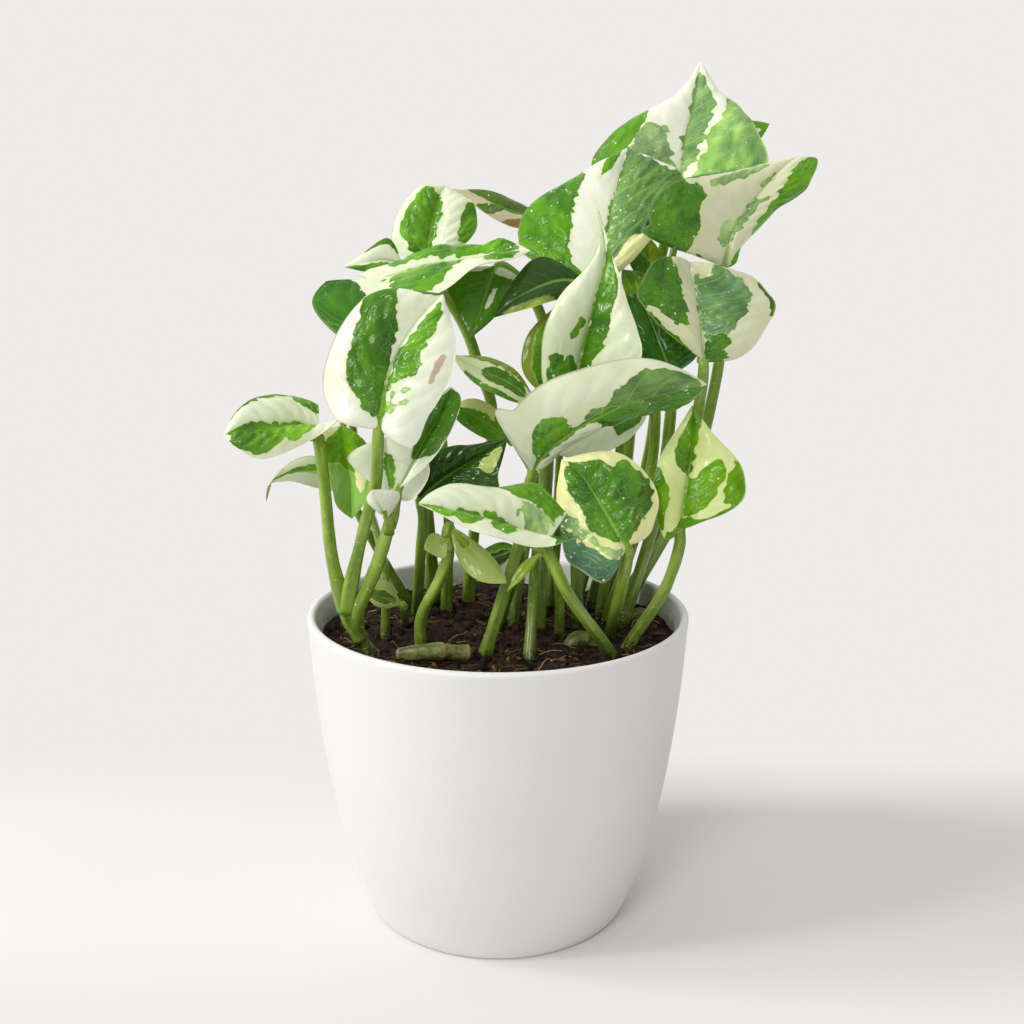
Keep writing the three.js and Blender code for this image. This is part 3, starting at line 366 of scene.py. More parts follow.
        ribs=[(0.35, (-64.5, 0, 160), (-63.5, -1, 165.5), (-65, 2, 171)),
              (0.7, (-76.5, -4, 163.5), (-76.5, -4, 166), (-76, -3, 169)),
              (0.9, (-82.5, -6, 161.5), (-82, -6, 162), (-80.5, -6, 163.5))],
        stalk=[(-53.5, 2, 155), (-46.5, 4, 139.5), (-33.5, 25, 105)], small=True, radius=1.7),
    new_leaf(
        "leaf_upper_left_long", "cream",
        ("green", (-.85, .2), (-.92, .5), (-.8, .92), (-.1, .95), (-.12, .75), (-.2, .5), (-.3, .2),
            (-.5, .15)),
        ("mid", (.03, .1), (.3, .25), (.8, .36), (.85, .44), (.45, .55), (.1, .62), (.03, .5)),
        ("green", (.1, .93), (.1, .8), (.4, .72), (.8, .74), (.9, .8), (.9, .9)),
        ("deepgreen", (.4, -.05), (.38, .08), (.5, .17), (1.1, .2), (1.1, -.05)),
        base=(-43.5, 4, 232.5), tip=(11.5, 6, 244),
        ribs=[(0, (-50, 11, 235.5), (-43.5, 4, 232.5), (-60, 0, 234)),
              (0.07, (-45.5, 15, 236.5), (-40, 5, 234.5), (-64.5, -6, 227.5)),
              (0.16, (-39.5, 17, 238), (-36, 5, 236), (-54.5, -15, 216.5)),
              (0.4, (-25.5, 18, 244), (-23.5, 6, 239.5), (-24.5, -14, 229)),
              (0.7, (-5.5, 14, 245.5), (-5, 6, 241.5), (-7, -6, 238.5)),
              (0.9, (3.5, 10, 248), (5, 7, 243.5), (6, 0, 242))],
        stalk=[(-42.5, 6, 229), (-36, 8, 209), (-30, 6, 184), (-25.5, 4, 147), (-25.5, 33, 105)]),
    new_leaf(
        "leaf_top_left", "cream",
        ("mid", (-.8, .85), (-.6, .9), (-.3, .85), (0, .88), (.1, .8), (.2, .6), (.1, .5), (.15, .35),
            (.1, .25), (-.2, .2), (-.5, .28), (-.75, .4), (-.7, .6)),
        ("dark", (-.6, .2), (-.58, .33), (-.25, .33), (-.25, .2)),
        ("mid", (1.1, .7), (.8, .7), (.65, .55), (.62, .4), (.7, .3), (1.1, .25)),
        base=(-27, 32, 237), tip=(-19.5, 44, 267),
        ribs=[(0.3, (-39, 34, 245.5), (-26, 35, 246), (-10.5, 36, 247.5)),
              (0.68, (-34.5, 40, 262), (-23.5, 40, 259), (-9, 42, 259.5)),
              (0.88, (-27.5, 43, 267), (-22, 43, 264), (-13.5, 43, 263.5))],
        stalk=[(-24, 30, 232), (-15.5, 28, 221), (-10.5, 27, 211), (-7, 26, 200), (-2.5, 24, 187),
               (-3, 22, 170), (-7.5, 20, 151), (-12, 33, 105)]),
    new_leaf(
        "leaf_left_behind", "cream",
        ("dark", (1.1, .1), (.75, .15), (.7, .4), (.85, .65), (1.1, .7)),
        ("mid", (-1.1, .1), (-.35, .2), (-.3, .5), (-.5, .7), (-.3, .9), (-1.1, 1)),
        base=(-35.5, 26, 239), tip=(-56, 20, 238),
        ribs=[(0.35, (-41.5, 22, 235.5), (-42, 24, 240.5), (-40.5, 28, 248)),
              (0.7, (-49.5, 20, 236.5), (-49.5, 21, 239.5), (-49, 24, 243))],
        stalk=[(-32.5, 24, 235), (-26, 22, 215), (-21.5, 18, 182), (-18.5, 8, 146.5),
               (-20, 17.5, 105)], small=True, radius=1.8),
    new_leaf(
        "leaf_top_middle_behind", "husk",
        ("fern", (-.1, .3), (.2, .8), (1.1, .9), (1.1, .1), (.3, .1)),
        ("fern", (-.9, .72), (-.2, .55), (.2, .36), (.25, .45), (-.2, .68), (-.85, .82)),
        ("brown", (-1.1, .15), (-1.1, .6), (-.7, .5), (-.5, .3), (-.7, .15)),
        base=(18.5, 56, 256), tip=(-17.5, 50, 266),
        ribs=[(0.35, (8.5, 50, 251.5), (7.5, 54, 257), (8.5, 58, 261)),
              (0.7, (-3, 48, 256), (-5, 51, 262), (-4, 54, 265.5))],
        stalk=[(22, 54, 251), (26, 46, 213), (24, 36, 167.5), (22, 46.5, 105)], small=True),
    new_leaf(
        "leaf_under_long", "dark",
        ("cream", (-1.1, -.05), (.1, 0), (-.1, .12), (-.5, .24), (-1.1, .3)),
        ("cream", (.45, .04), (.45, .2), (1.1, .2), (1.1, .04)),
        ("cream", (-.3, .4), (-.25, .6), (-.18, .6), (-.2, .4)),
        base=(-0.5, 16, 238.5), tip=(-10, 4, 213.5),
        ribs=[(0.3, (8, 14, 233), (-3, 13, 232.5), (-18.5, 12, 236.5)),
              (0.65, (-0.5, 9, 221.5), (-6.5, 8, 222.5), (-15.5, 8, 225))],
        stalk=[(2, 19, 238.5), (11, 22, 229.5), (17.5, 24, 215), (19.5, 22, 189), (18, 14, 152.5),
               (14.5, 20, 105)], small=True, radius=1.9),
    new_leaf(
        # Its deepest green is partly painted shade.
        "leaf_dark_centre", "deep",
        ("olive", (-1.1, .42), (-.78, .45), (-.76, .85), (-1.1, .85)),
        base=(32, 9, 232.5), tip=(-1.5, -2, 221.5),
        ribs=[(0.3, (24, 3, 228.5), (22, 5, 234), (17.5, 9, 242)),
              (0.7, (7.5, -4, 224), (6.5, -1, 228), (5, 4, 233.5))],
        stalk=[(33.5, 10, 228.5), (33, 15, 190), (24, 16, 152), (20.5, 25, 105)], small=True, radius=1.8),
    new_leaf(
        # This blade's cream is the cream as it looks in shade: painted shade.
        "leaf_left_mid_upper", "shade",
        ("dark", (-.5, .2), (-.4, .4), (-.5, .6), (-.3, .65), (0, .7), (.4, .6), (.45, .5), (.35, .2)),
        ("olive", (.6, .1), (.6, .9), (1.1, .9), (1.1, .1)),
        ("mid", (-1.1, .2), (-.82, .25), (-.8, .8), (-1.1, .8)),
        base=(14, -6, 190.5), tip=(-16, -12, 209.5),
        ribs=[(0.35, (2.5, -16, 195), (5, -9, 198.5), (7.5, -4, 202)),
              (0.7, (-9, -18, 201.5), (-6, -12, 204.5), (-3, -6, 208))],
        stalk=[(15, -4, 185.5), (16.5, 0, 167), (13.5, -12, 136.5),
               (11, -29.5, 105)], small=True, radius=1.9),
    new_leaf(
        "leaf_left_mid_lower", "lemon",
        ("mid", (-1.1, 0), (-1.1, 1), (.25, .95), (.3, .5), (.28, .1)),
        ("mid", (.3, -.1), (.3, .38), (1.1, .38), (1.1, -.1)),
        base=(6, 4, 176.5), tip=(-18, -1, 189.5),
        ribs=[(0.35, (-3.5, -1, 178), (-2, 3, 181.5), (0.5, 6, 187)),
              (0.7, (-13, -3, 184), (-10.5, -1, 187.5), (-9, 2, 192.5))],
        stalk=[(9, 5, 172), (13.5, 8, 161.5), (10.5, 10, 138), (5, 1, 105)], small=True, radius=1.8),
    new_leaf(
        # Its deepest green is partly painted shade.
        "leaf_dark_low", "deep",
        ("dull", (.25, .65), (.3, .9), (.75, .9), (.8, .68), (.5, .62)),
        base=(-28, -6, 157), tip=(3.5, -8, 180),
        ribs=[(0.1, (-34, -8, 168.5), (-25, -6, 160), (-20.5, -12, 155.5)),
              (0.4, (-22, -4, 175), (-16.5, -5, 166.5), (-2, -14, 161)),
              (0.75, (-8, -6, 177.5), (-5, -7, 174), (0.5, -12, 169))],
        stalk=[(-27, -5, 152.5), (-28.5, -2, 133.5), (-31.5, 17.5, 105)]),
    new_leaf(
        "leaf_front_long", "cream",
        ("mid", (-.85, .98), (-.9, .8), (-.6, .75), (0, .73), (.05, .9), (0, .98)),
        ("mid", (-.8, .71), (-.75, .6), (-.4, .54), (0, .51), (.08, .6), (.05, .7), (-.3, .71)),
        ("mid", (-.75, .48), (-.7, .38), (-.3, .3), (-.02, .18), (.05, .4), (.2, .5), (.05, .5),
            (-.05, .42), (-.3, .47)),
        ("pale", (.1, .03), (.05, .12), (.3, .25), (.5, .25), (.45, .1), (.6, .05)),
        ("mid", (.5, .02), (.55, .2), (.7, .38), (1.1, .45), (1.1, .02)),
        ("dark", (-1.1, .02), (-.5, .03), (-.55, .12), (-1.1, .14)),
        base=(15, -50, 151.5), tip=(-25, -60, 168),
        ribs=[(0, (26.5, -54, 156), (15, -50, 151.5), (23, -40, 160.5)),
              (0.15, (18.5, -58, 154), (8, -51, 156), (15.5, -38, 168)),
              (0.45, (0.5, -62, 157), (-3, -54, 161.5), (0, -42, 170)),
              (0.78, (-15.5, -62, 163.5), (-17, -58, 166), (-18.5, -50, 171))],
        stalk=[(16.5, -50, 148.5), (22.5, -50, 136), (40, -28.5, 105)]),
    # Its narrow green leaf
    new_leaf(
        "stem_front_left", "painted_lit_cream",
        ("dark", (-.75, .35), (-.4, .28), (.3, .3), (.95, .35), (.95, .95), (-.7, .95)),
        base=(-33.5, -32, 166.5), tip=(-16, -22, 200),
        ribs=[(0.35, (-29, -30, 180.5), (-27, -28, 178.5), (-20, -30, 179)),
              (0.7, (-22, -26, 194.5), (-19.5, -24, 191.5), (-12.5, -24, 194.5))],
        stalk=[(-34, -33, 163), (-36, -33, 155)], small=True, rooted=False),
    # Its pale low leaf
    new_leaf(
        "stem_front_left", "painted_lit_cream",
        ("mid", (-.1, .2), (-.1, .7), (.15, .7), (.15, .2)),
        base=(-37, -24, 162), tip=(-38.5, -18, 182),
        ribs=[(0.25, (-43.5, -25, 167.5), (-37, -23, 167), (-29.5, -25, 161.5)),
              (0.6, (-51.5, -22, 175.5), (-38, -20, 174.5), (-23.5, -22, 172.5))],
        stalk=[(-36.5, -27, 159), (-36.5, -31, 153)], small=True, rooted=False),
    new_leaf(
        # This blade's bright yellow-green is painted light.
        "leaf_behind_left_petioles", "painted_lit_green",
        ("vivid", (-1.1, -.1), (-1.1, .5), (-.3, .55), (.3, .45), (1.1, .5), (1.1, -.1)),
        ("lemon", (.5, .02), (.6, .22), (.75, .36), (1.1, .42), (1.1, .02)),
        ("lemon", (-.9, .55), (-.6, .75), (-.3, .6), (-.55, .4)),
        base=(-54.5, -10, 185), tip=(-51.5, -14, 152),
        ribs=[(0.3, (-45.5, -14, 178.5), (-54, -9, 176.5), (-64.5, -12, 180)),
              (0.65, (-45, -16, 164.5), (-52, -12, 164), (-58.5, -14, 165.5)),
              (0.88, (-47.5, -16, 157), (-52, -13, 155.5), (-56, -15, 156))],
        stalk=[(-52, -6, 186), (-51, 2, 166.5), (-41.5, -6, 134.5), (-41, -10.5, 105)], small=True),
    # Its cupped sheath
    new_leaf(
        "stem_front_left", "painted_lit_cream",
        ("olive", (-.2, 0), (-.2, .3), (.2, .3), (.2, 0)),
        base=(-37, -36, 157.5), tip=(-41, -46, 169.5),
        ribs=[(0.5, (-43, -42, 164.5), (-39, -42, 163), (-32.5, -40, 167))],
        stalk=[(-36.5, -35, 155.5), (-37, -33, 152)], small=True, rooted=False),
    # Two curled blades on one stem
    new_leaf(
        "small_curled_leaf", "dull",
        ("olive", (-.5, 0), (-.4, .3), (.4, .3), (.5, 0)),
        base=(-17.5, -33, 149.5), tip=(-24.5, -40, 148),
        ribs=[(0.5, (-22, -36, 152.5), (-21, -35, 148.5), (-18, -40, 145))],
        stalk=[(-17, -33, 148), (-17, -32, 145)], small=True, rooted=False),
    new_leaf(
        "small_curled_leaf", "dull",
        ("olive", (-.5, 0), (-.4, .3), (.4, .3), (.5, 0)),
        base=(-16.5, -30, 154), tip=(3, -38, 135.5),
        ribs=[(0.4, (-5.5, -30, 146), (-9, -33, 145), (-13, -35, 142)),
              (0.75, (0.5, -34, 140), (-2.5, -36, 140), (-5.5, -38, 136))],
        stalk=[(-17.5, -31, 150), (-17, -32, 143.5), (-20, -32, 135), (-27, -27, 119),
               (-27, -25.5, 105)], small=True, radius=2.1),
    new_leaf(
        "small_dark_leaf", "dark",
        # This mark's deepest green is partly painted shade.
        ("deep", (-.8, .1), (-.7, .8), (.2, .8), (.2, .1)),
        base=(7, -14, 141.5), tip=(-10.5, -18, 137.5),
        ribs=[(0.5, (-2, -20, 134.5), (-1.5, -16, 138.5), (-0.5, -12, 142.5))],
        stalk=[(8, -12, 138), (0, 1, 105)], small=True),
    new_leaf(
        "small_narrow_leaf", "olive",
        base=(14.5, -34, 145.5), tip=(3, -38, 132.5),
        ribs=[(0.5, (10, -37, 138.5), (9, -36, 139.5), (7.5, -34, 140.5))],
        stalk=[(16, -32, 146), (20, -28, 137.5), (22.5, -8, 105)], small=True, radius=1.7),
    new_leaf(
        "leaf_behind_upright_left", "olive",
        ("mid", (-.55, .05), (-.5, .95), (1.1, 1), (1.1, 0)),
        base=(18.5, 2, 192), tip=(19.5, 10, 223.5),
        ribs=[(0.4, (8.5, 2, 203.5), (18, 4, 204.5), (26.5, 2, 204)),
              (0.7, (10.5, 6, 214.5), (18.5, 7, 214.5), (25, 6, 213.5))],
        stalk=[(18.5, 4, 187.5), (18.5, 6, 165.5), (15.5, -1.5, 105)], small=True, radius=1.8),
    new_leaf(
        "leaf_behind_upright_right", "deepgreen",
        ("leafgreen", (-1.1, .78), (1.1, .72), (1.1, 1.05), (-1.1, 1.05)),
        base=(62, 8, 201), tip=(45.5, 24, 237),
        ribs=[(0.3, (51, 6, 207), (58.5, 11, 210.5), (73, 14, 208)),
              (0.65, (46, 16, 223), (53, 18, 224.5), (67, 24, 229.5))],
        stalk=[(63, 9, 196.5), (62.5, 12, 175.5), (58.5, 12, 145.5), (46.5, 4.5, 105)]),
    new_leaf(
        "leaf_between_tops", "olive",
        ("dark", (-1.1, 0), (-1.1, .7), (-.2, .6), (.5, .3), (.5, 0)),
        base=(57.5, 32, 229), tip=(56, 40, 249.5),
        ribs=[(0.45, (49, 34, 239.5), (56, 36, 238.5), (61.5, 35, 239.5))],
        stalk=[(57, 33, 223.5), (48, 32, 187.5), (46, 27, 149.5),
               (39.5, 17.5, 105)], small=True, radius=1.8),
    new_leaf(
        "small_leaf_near_soil", "dull",
        ("fern", (-.5, .2), (-.5, .9), (.3, .9), (.3, .2)),
        base=(-34.5, -12, 120), tip=(-48.5, -14, 125),
        ribs=[(0.5, (-42, -18, 120.5), (-41.5, -14, 123), (-41, -10, 128.5))],
        stalk=[(-34, -11, 118), (-35, 5.5, 105)], small=True, radius=1.7),
]

# Stems that carry no blade of their own (node, radius, rooted, line), and
# stem pieces on the soil (node, radius, line).
SHOOTS = [
    ("stem_front_left", 2.3, True,
     [(-36.5, -33, 155), (-42, -30, 138), (-49, -27, 120.5), (-48, -24, 110.5), (-44.5, -23.5, 105)]),
    ("stem_front_left", 2.2, False, [(-54, -26, 124), (-52, -25, 116.5), (-48, -24, 110.5)]),
]
LYING_STEMS = [
    ("cut_stem", 3.2, [(-35, -35, 109), (-22, -34.5, 110), (-9.5, -32, 108.5)]),
    ("rhizome_front", 3.0, [(23, -17, 103), (29, -14, 107.5), (35, -11, 103)]),
    ("rhizome_right", 2.6, [(49, 13, 103), (54, 15, 107.5), (58, 18, 103)]),
]
FEET = np.array([leaf["stalk"][-1][:2] for leaf in LEAVES if leaf["rooted"]], float)

# Tones of the marks. Grey-green ones lie lowest, then green ones, then the rest.
GREY_TONES = {
    "haze": (108, 152, 84), "pale": (160, 198, 112), "grey": (136, 170, 98), "soft": (130, 170, 90),
    # The blue-green is green with a painted reflection of the bright sky on glossy blades.
    "sage": (104, 146, 66), "blue": (86, 128, 82),
}
GREEN_TONES = {
    "bright": (124, 182, 36), "vivid": (108, 164, 8), "mid": (100, 160, 24), "dark": (80, 134, 24),
    # The deepest green is a dark green darkened further for blades in the plant's shaded middle: partly
    # painted shade.
    "deep": (44, 80, 16), "moss": (78, 104, 8), "olive": (142, 164, 48), "leafgreen": (122, 168, 34),
    # The brightest yellow-green is painted light: green as it looks with light shining through the blade.
    "deepgreen": (54, 112, 14), "fern": (96, 128, 36), "painted_lit_green": (146, 194, 92), "green": (94, 158, 16),
}
# The whitest cream is the cream painted brighter for blades that catch more light: painted light.
OTHER_TONES = {
    # The cream named shade is the cream as it looks in shade: painted shade.
    # The dull cream is partly the blades' own aged tone and partly painted shade.
    "cream": (232, 239, 209), "painted_lit_cream": (244, 248, 228), "aged_and_shaded_cream": (219, 221, 186), "shade": (228, 236, 190),
    "lemon": (234, 234, 168), "limecream": (222, 235, 160), "brown": (150, 118, 66),
    "scar": (202, 182, 160), "dull": (172, 188, 106), "husk": (214, 202, 174),
}
TONES = {**GREY_TONES, **GREEN_TONES, **OTHER_TONES}

# Other colours, by what they colour
COLOURS = {
    # The dot colour is partly specks of dust and minerals, partly painted glints of water drops.
    # The net colour is partly pale veins, partly painted highlights on the puckers' edges.
    "midrib": (142, 182, 74), "side vein": (190, 214, 140), "net": (206, 226, 178), "dot": (244, 248, 236),
    "blade edge": (206, 218, 150), "underside": (168, 194, 120),
    "stalk": (94, 132, 18), "stalk streak": (156, 186, 74), "stalk shade": (96, 128, 26),
    "stalk patch": (172, 190, 94), "stalk tan": (166, 148, 98), "stalk top": (156, 186, 84),
    # The pale speck colour is partly painted glints of water drops.
    "stalk foot": (84, 84, 34), "stalk dirt": (52, 40, 24), "pale speck": (232, 238, 214),
    "brown speck": (132, 92, 58),
    "bark": (70, 82, 34), "bark streak": (132, 140, 74), "bark spot": (112, 84, 46),
    "joint": (84, 60, 36), "joint fibre": (196, 170, 118),
    "peat": (12, 9, 6), "peat crumb": (76, 54, 37), "peat patch": (40, 29, 21),
    "pot": (230, 229, 227), "pot cloud": (226, 225, 222), "pot dirt": (112, 92, 72),
    "stage": (226, 225, 223), "stage glow": (238, 236, 234), "sky": (255, 254, 252), "black": (0, 0, 0),
}


def linear(rgb):
    """An 8-bit colour as Blender's linear values."""
    value = np.asarray(rgb, float) / 255
    return np.where(value <= 0.04045, value / 12.92, ((value + 0.055) / 1.055) ** 2.4)


# Noise and curves


def unit(v):
    return v / np.maximum(np.linalg.norm(v, axis=-1, keepdims=True), 1e-9)


def step(low, high, value):
    """A smooth step from 0 at low to 1 at high."""
    t = np.clip((value - low) / (high - low), 0, 1)
    return t * t * (3 - 2 * t)


def bell(value, width, middle=0):
    """A smooth swelling: 1 in the middle, fading away over the width."""
    return np.exp(-((value - middle) / width) ** 2)


def lattice(i, j, seed):
    """A fixed value from 0 to 1 for each whole-number place."""
    h = (i.astype(np.int64) * 374761393 + j.astype(np.int64) * 668265263 + seed * 974634777) & 0xFFFFFFFF
    for shift, factor in ((13, 1274126177), (16, 2246822519)):
        h = ((h ^ (h >> shift)) * factor) & 0xFFFFFFFF
    return (h & 0xFFFFFF) / float(0xFFFFFF)


def noise(x, y, seed):
    """Smooth value noise from -1 to 1 over a plane, one unit across a bump."""
    x, y = np.broadcast_arrays(np.asarray(x, float), np.asarray(y, float))
    i, j = np.floor(x), np.floor(y)
    u, v = (t * t * t * (t * (t * 6 - 15) + 10) for t in (x - i, y - j))
    a = lattice(i, j, seed) * (1 - u) + lattice(i + 1, j, seed) * u
    b = lattice(i, j + 1, seed) * (1 - u) + lattice(i + 1, j + 1, seed) * u
    return 2 * (a * (1 - v) + b * v) - 1


def cells(x, y, seed):
    """How deep a place lies inside its cell of an uneven net: 0 on the net's lines."""
    i, j = np.floor(x), np.floor(y)
    near = np.full(x.shape, 9.0)
    second = near.copy()
    for di in (-1, 0, 1):
        for dj in (-1, 0, 1):
            a, b = i + di, j + dj
            d = np.hypot(a + lattice(a, b, seed) - x, b + lattice(a, b, seed + 57) - y)
            second = np.minimum(second, np.maximum(near, d))
            near = np.minimum(near, d)
    return second - near


def smooth_at(stops, points, t):
    """A smooth line through points at uneven stops, the same as in the solids."""
    stops, p = np.asarray(stops, float), np.asarray(points, float)
    span = np.diff(stops)
    chord = np.diff(p, axis=0) / span[:, None]
    slope = np.zeros_like(p)
    for i in range(1, len(span)):
        slope[i] = (chord[i - 1] * span[i] + chord[i] * span[i - 1]) / (span[i - 1] + span[i])
    if len(span) == 1:
        slope[0] = slope[1] = chord[0]
    else:
        slope[0] = 1.5 * chord[0] - 0.5 * slope[1]
        slope[-1] = 1.5 * chord[-1] - 0.5 * slope[-2]
    i = np.clip(np.searchsorted(stops, t, side="left") - 1, 0, len(span) - 1)
    h = span[i][:, None]
    x = ((t - stops[i]) / span[i])[:, None]
    return (p[i] * (2 * x ** 3 - 3 * x ** 2 + 1) + slope[i] * (x ** 3 - 2 * x ** 2 + x) * h
            + p[i + 1] * (-2 * x ** 3 + 3 * x ** 2) + slope[i + 1] * (x ** 3 - x ** 2) * h)


def catmull(points, per_piece):
    """The centripetal curve through points, per_piece steps between each two."""
    p = [np.asarray(q, float) for q in points]
    p = [2 * p[0] - p[1], *p, 2 * p[-1] - p[-2]]
    out = []
    for k in range(1, len(p) - 2):
        p0, p1, p2, p3 = p[k - 1:k + 3]
        d0, d1, d2 = (max(np.linalg.norm(b - a) ** 0.5, 1e-4) for a, b in ((p0, p1), (p1, p2), (p2, p3)))
        m1 = ((p1 - p0) / d0 - (p2 - p0) / (d0 + d1) + (p2 - p1) / d1) * d1
        m2 = ((p2 - p1) / d1 - (p3 - p1) / (d1 + d2) + (p3 - p2) / d2) * d1
        c2 = -3 * p1 + 3 * p2 - 2 * m1 - m2
        c3 = 2 * p1 - 2 * p2 + m1 + m2
        for x in np.arange(per_piece) / per_piece:
            out.append(p1 + m1 * x + c2 * x * x + c3 * x ** 3)
    out.append(p[-2])
    return np.array(out)


def distances(path):
    """How far along a line each of its points lies."""
    return np.concatenate([[0], np.cumsum(np.linalg.norm(np.diff(path, axis=0), axis=1))])


def evenly(path, step_length):
    """The same line with points at even distances, and those distances."""
    length = distances(path)
    count = max(4, int(round(length[-1] / step_length)) + 1)
    at = np.linspace(0, length[-1], count)
    return np.stack([np.interp(at, length, path[:, k]) for k in range(3)], axis=1), at


def signed_distance(x, y, outline):
    """Distance to a closed outline, positive inside it."""
    best = np.full(x.shape, 1e9)
    inside = np.zeros(x.shape, bool)
    for (x0, y0), (x1, y1) in zip(outline, np.roll(outline, -1, axis=0)):
        dx, dy = x1 - x0, y1 - y0
        t = np.clip(((x - x0) * dx + (y - y0) * dy) / max(dx * dx + dy * dy, 1e-9), 0, 1)
        best = np.minimum(best, np.hypot(x - x0 - t * dx, y - y0 - t * dy))
        if y0 != y1:
            inside ^= ((y0 > y) != (y1 > y)) & (x < dx * (y - y0) / dy + x0)
    return np.where(inside, best, -best)


def rounded(outline):
    """The outline with its corners cut once."""
    p = np.asarray(outline, float)
    q = np.roll(p, -1, axis=0)
    return np.stack([0.8 * p + 0.2 * q, 0.2 * p + 0.8 * q], axis=1).reshape(-1, 2)


# Meshes


def stacked(*columns):
    """Columns of values brought to one shape, as one row of values per point."""
    return np.stack(np.broadcast_arrays(*columns), axis=-1)


def per_point(value, count):
    """One row per point; a single number or colour serves every point."""
    value = np.asarray(value, float)
    if value.size <= 3:
        return np.tile(value.ravel(), (count, 1))
    return value.reshape(count, -1)


def grid_faces(ids, flip=False):
    """Quads over a grid of vertex numbers; a pointed end gives triangles."""
    ids = np.asarray(ids).tolist()
    faces = []
    for a, b in zip(ids[:-1], ids[1:]):
        for j in range(len(a) - 1):
            ring = [a[j], a[j + 1], b[j + 1], b[j]]
            if flip:
                ring.reverse()
            kept = [v for k, v in enumerate(ring) if v != ring[k - 1]]
            if len(kept) > 2:
                faces.append(kept)
    return faces


def add_object(name, data):
    made = bpy.data.objects.new(name, data)
    bpy.context.scene.collection.objects.link(made)
    return made


def add_surface(name, points, faces, materials):
    """A smooth mesh object."""
    mesh = bpy.data.meshes.new(name)
    mesh.from_pydata(points, [], faces)
    for material in materials:
        mesh.materials.append(material)
    mesh.polygons.foreach_set("use_smooth", [True] * len(faces))
    return add_object(name, mesh)


class Mesh:
    """Vertices in mm, faces and attributes that become one piece."""

    def __init__(self):
        self.points, self.faces, self.slots = [], [], []
        self.values = {}
        self.count = 0

    def add(self, points, faces, slot, **values):
        points = np.asarray(points, float).reshape(-1, 3)
        self.points.append(points)
        self.faces += [[k + self.count for k in face] for face in faces]
        self.slots += [slot] * len(faces)
        for key, value in values.items():
            self.values.setdefault(key, []).append((self.count, per_point(value, len(points))))
        self.count += len(points)

    def add_rings(self, rings, slot, **values):
        """A skin over closed rings of points; a ring of one point is a pole."""
        sides = max(len(ring) for ring in rings)
        ids, count = [], 0
        for ring in rings:
            number = np.arange(sides + 1) % len(ring)
            ids.append(number + count)
            count += len(ring)
        self.add(np.concatenate(rings), grid_faces(ids, flip=True), slot, **values)

    def build(self, node, materials, slot):
        """The piece that takes a node's place, with zero where it has no value."""
        points = (np.concatenate(self.points) * MM).tolist()
        piece = add_surface(node + "_fine", points, self.faces, materials)
        for key, rows in self.values.items():
            width = rows[0][1].shape[1]
            kind, field = {1: ("FLOAT", "value"), 3: ("FLOAT_VECTOR", "vector")}[width]
            full = np.zeros((self.count, width))
            for start, value in rows:
                full[start:start + len(value)] = value
            attribute = piece.data.attributes.new(key, kind, "POINT")
            attribute.data.foreach_set(field, full.astype(np.float32).ravel())
        piece.data.polygons.foreach_set("material_index", self.slots)
        piece.data.update()
        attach(piece, "root")
        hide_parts(node)


# Blades


def blade_surface(leaf, s, r):
    """The middle surface at every s (rows) and r (columns), in mm."""
    ribs = [*leaf["ribs"], (1, leaf["tip"], leaf["tip"], leaf["tip"])]
    if ribs[0][0] > 0:
        ribs.insert(0, (0, leaf["base"], leaf["base"], leaf["base"]))
    stops, left_line, mid_line, right_line = zip(*ribs)
    left, middle, right = (smooth_at(stops, line, s) for line in (left_line, mid_line, right_line))
    ahead = smooth_at(stops, mid_line, np.minimum(1, s + STEP_MIDRIB))
    behind = smooth_at(stops, mid_line, np.maximum(0, s - STEP_MIDRIB))
    across = right - left
    up = unit(np.cross(across, ahead - behind))
    far = np.abs(r)
    ease = np.minimum(1, np.linalg.norm(across, axis=1) / FULL_RELIEF_WIDTH)[:, None]
    crown, wave = (SMALL_CROWN, SMALL_WAVE) if leaf["small"] else (CROWN, WAVE)
    start = np.where(r < 0, LEFT_WAVE_START, RIGHT_WAVE_START)
    ripple = far ** 3 * np.sin(FULL_TURN * (WAVES_PER_BLADE * s[:, None] + start))
    lift = (crown * 4 * far * (1 - far) + wave * ripple) * ease
    edge = np.where((r < 0)[:, None], left[:, None], right[:, None])
    return middle[:, None] * (1 - far[:, None]) + edge * far[:, None] + up[:, None] * lift[..., None]


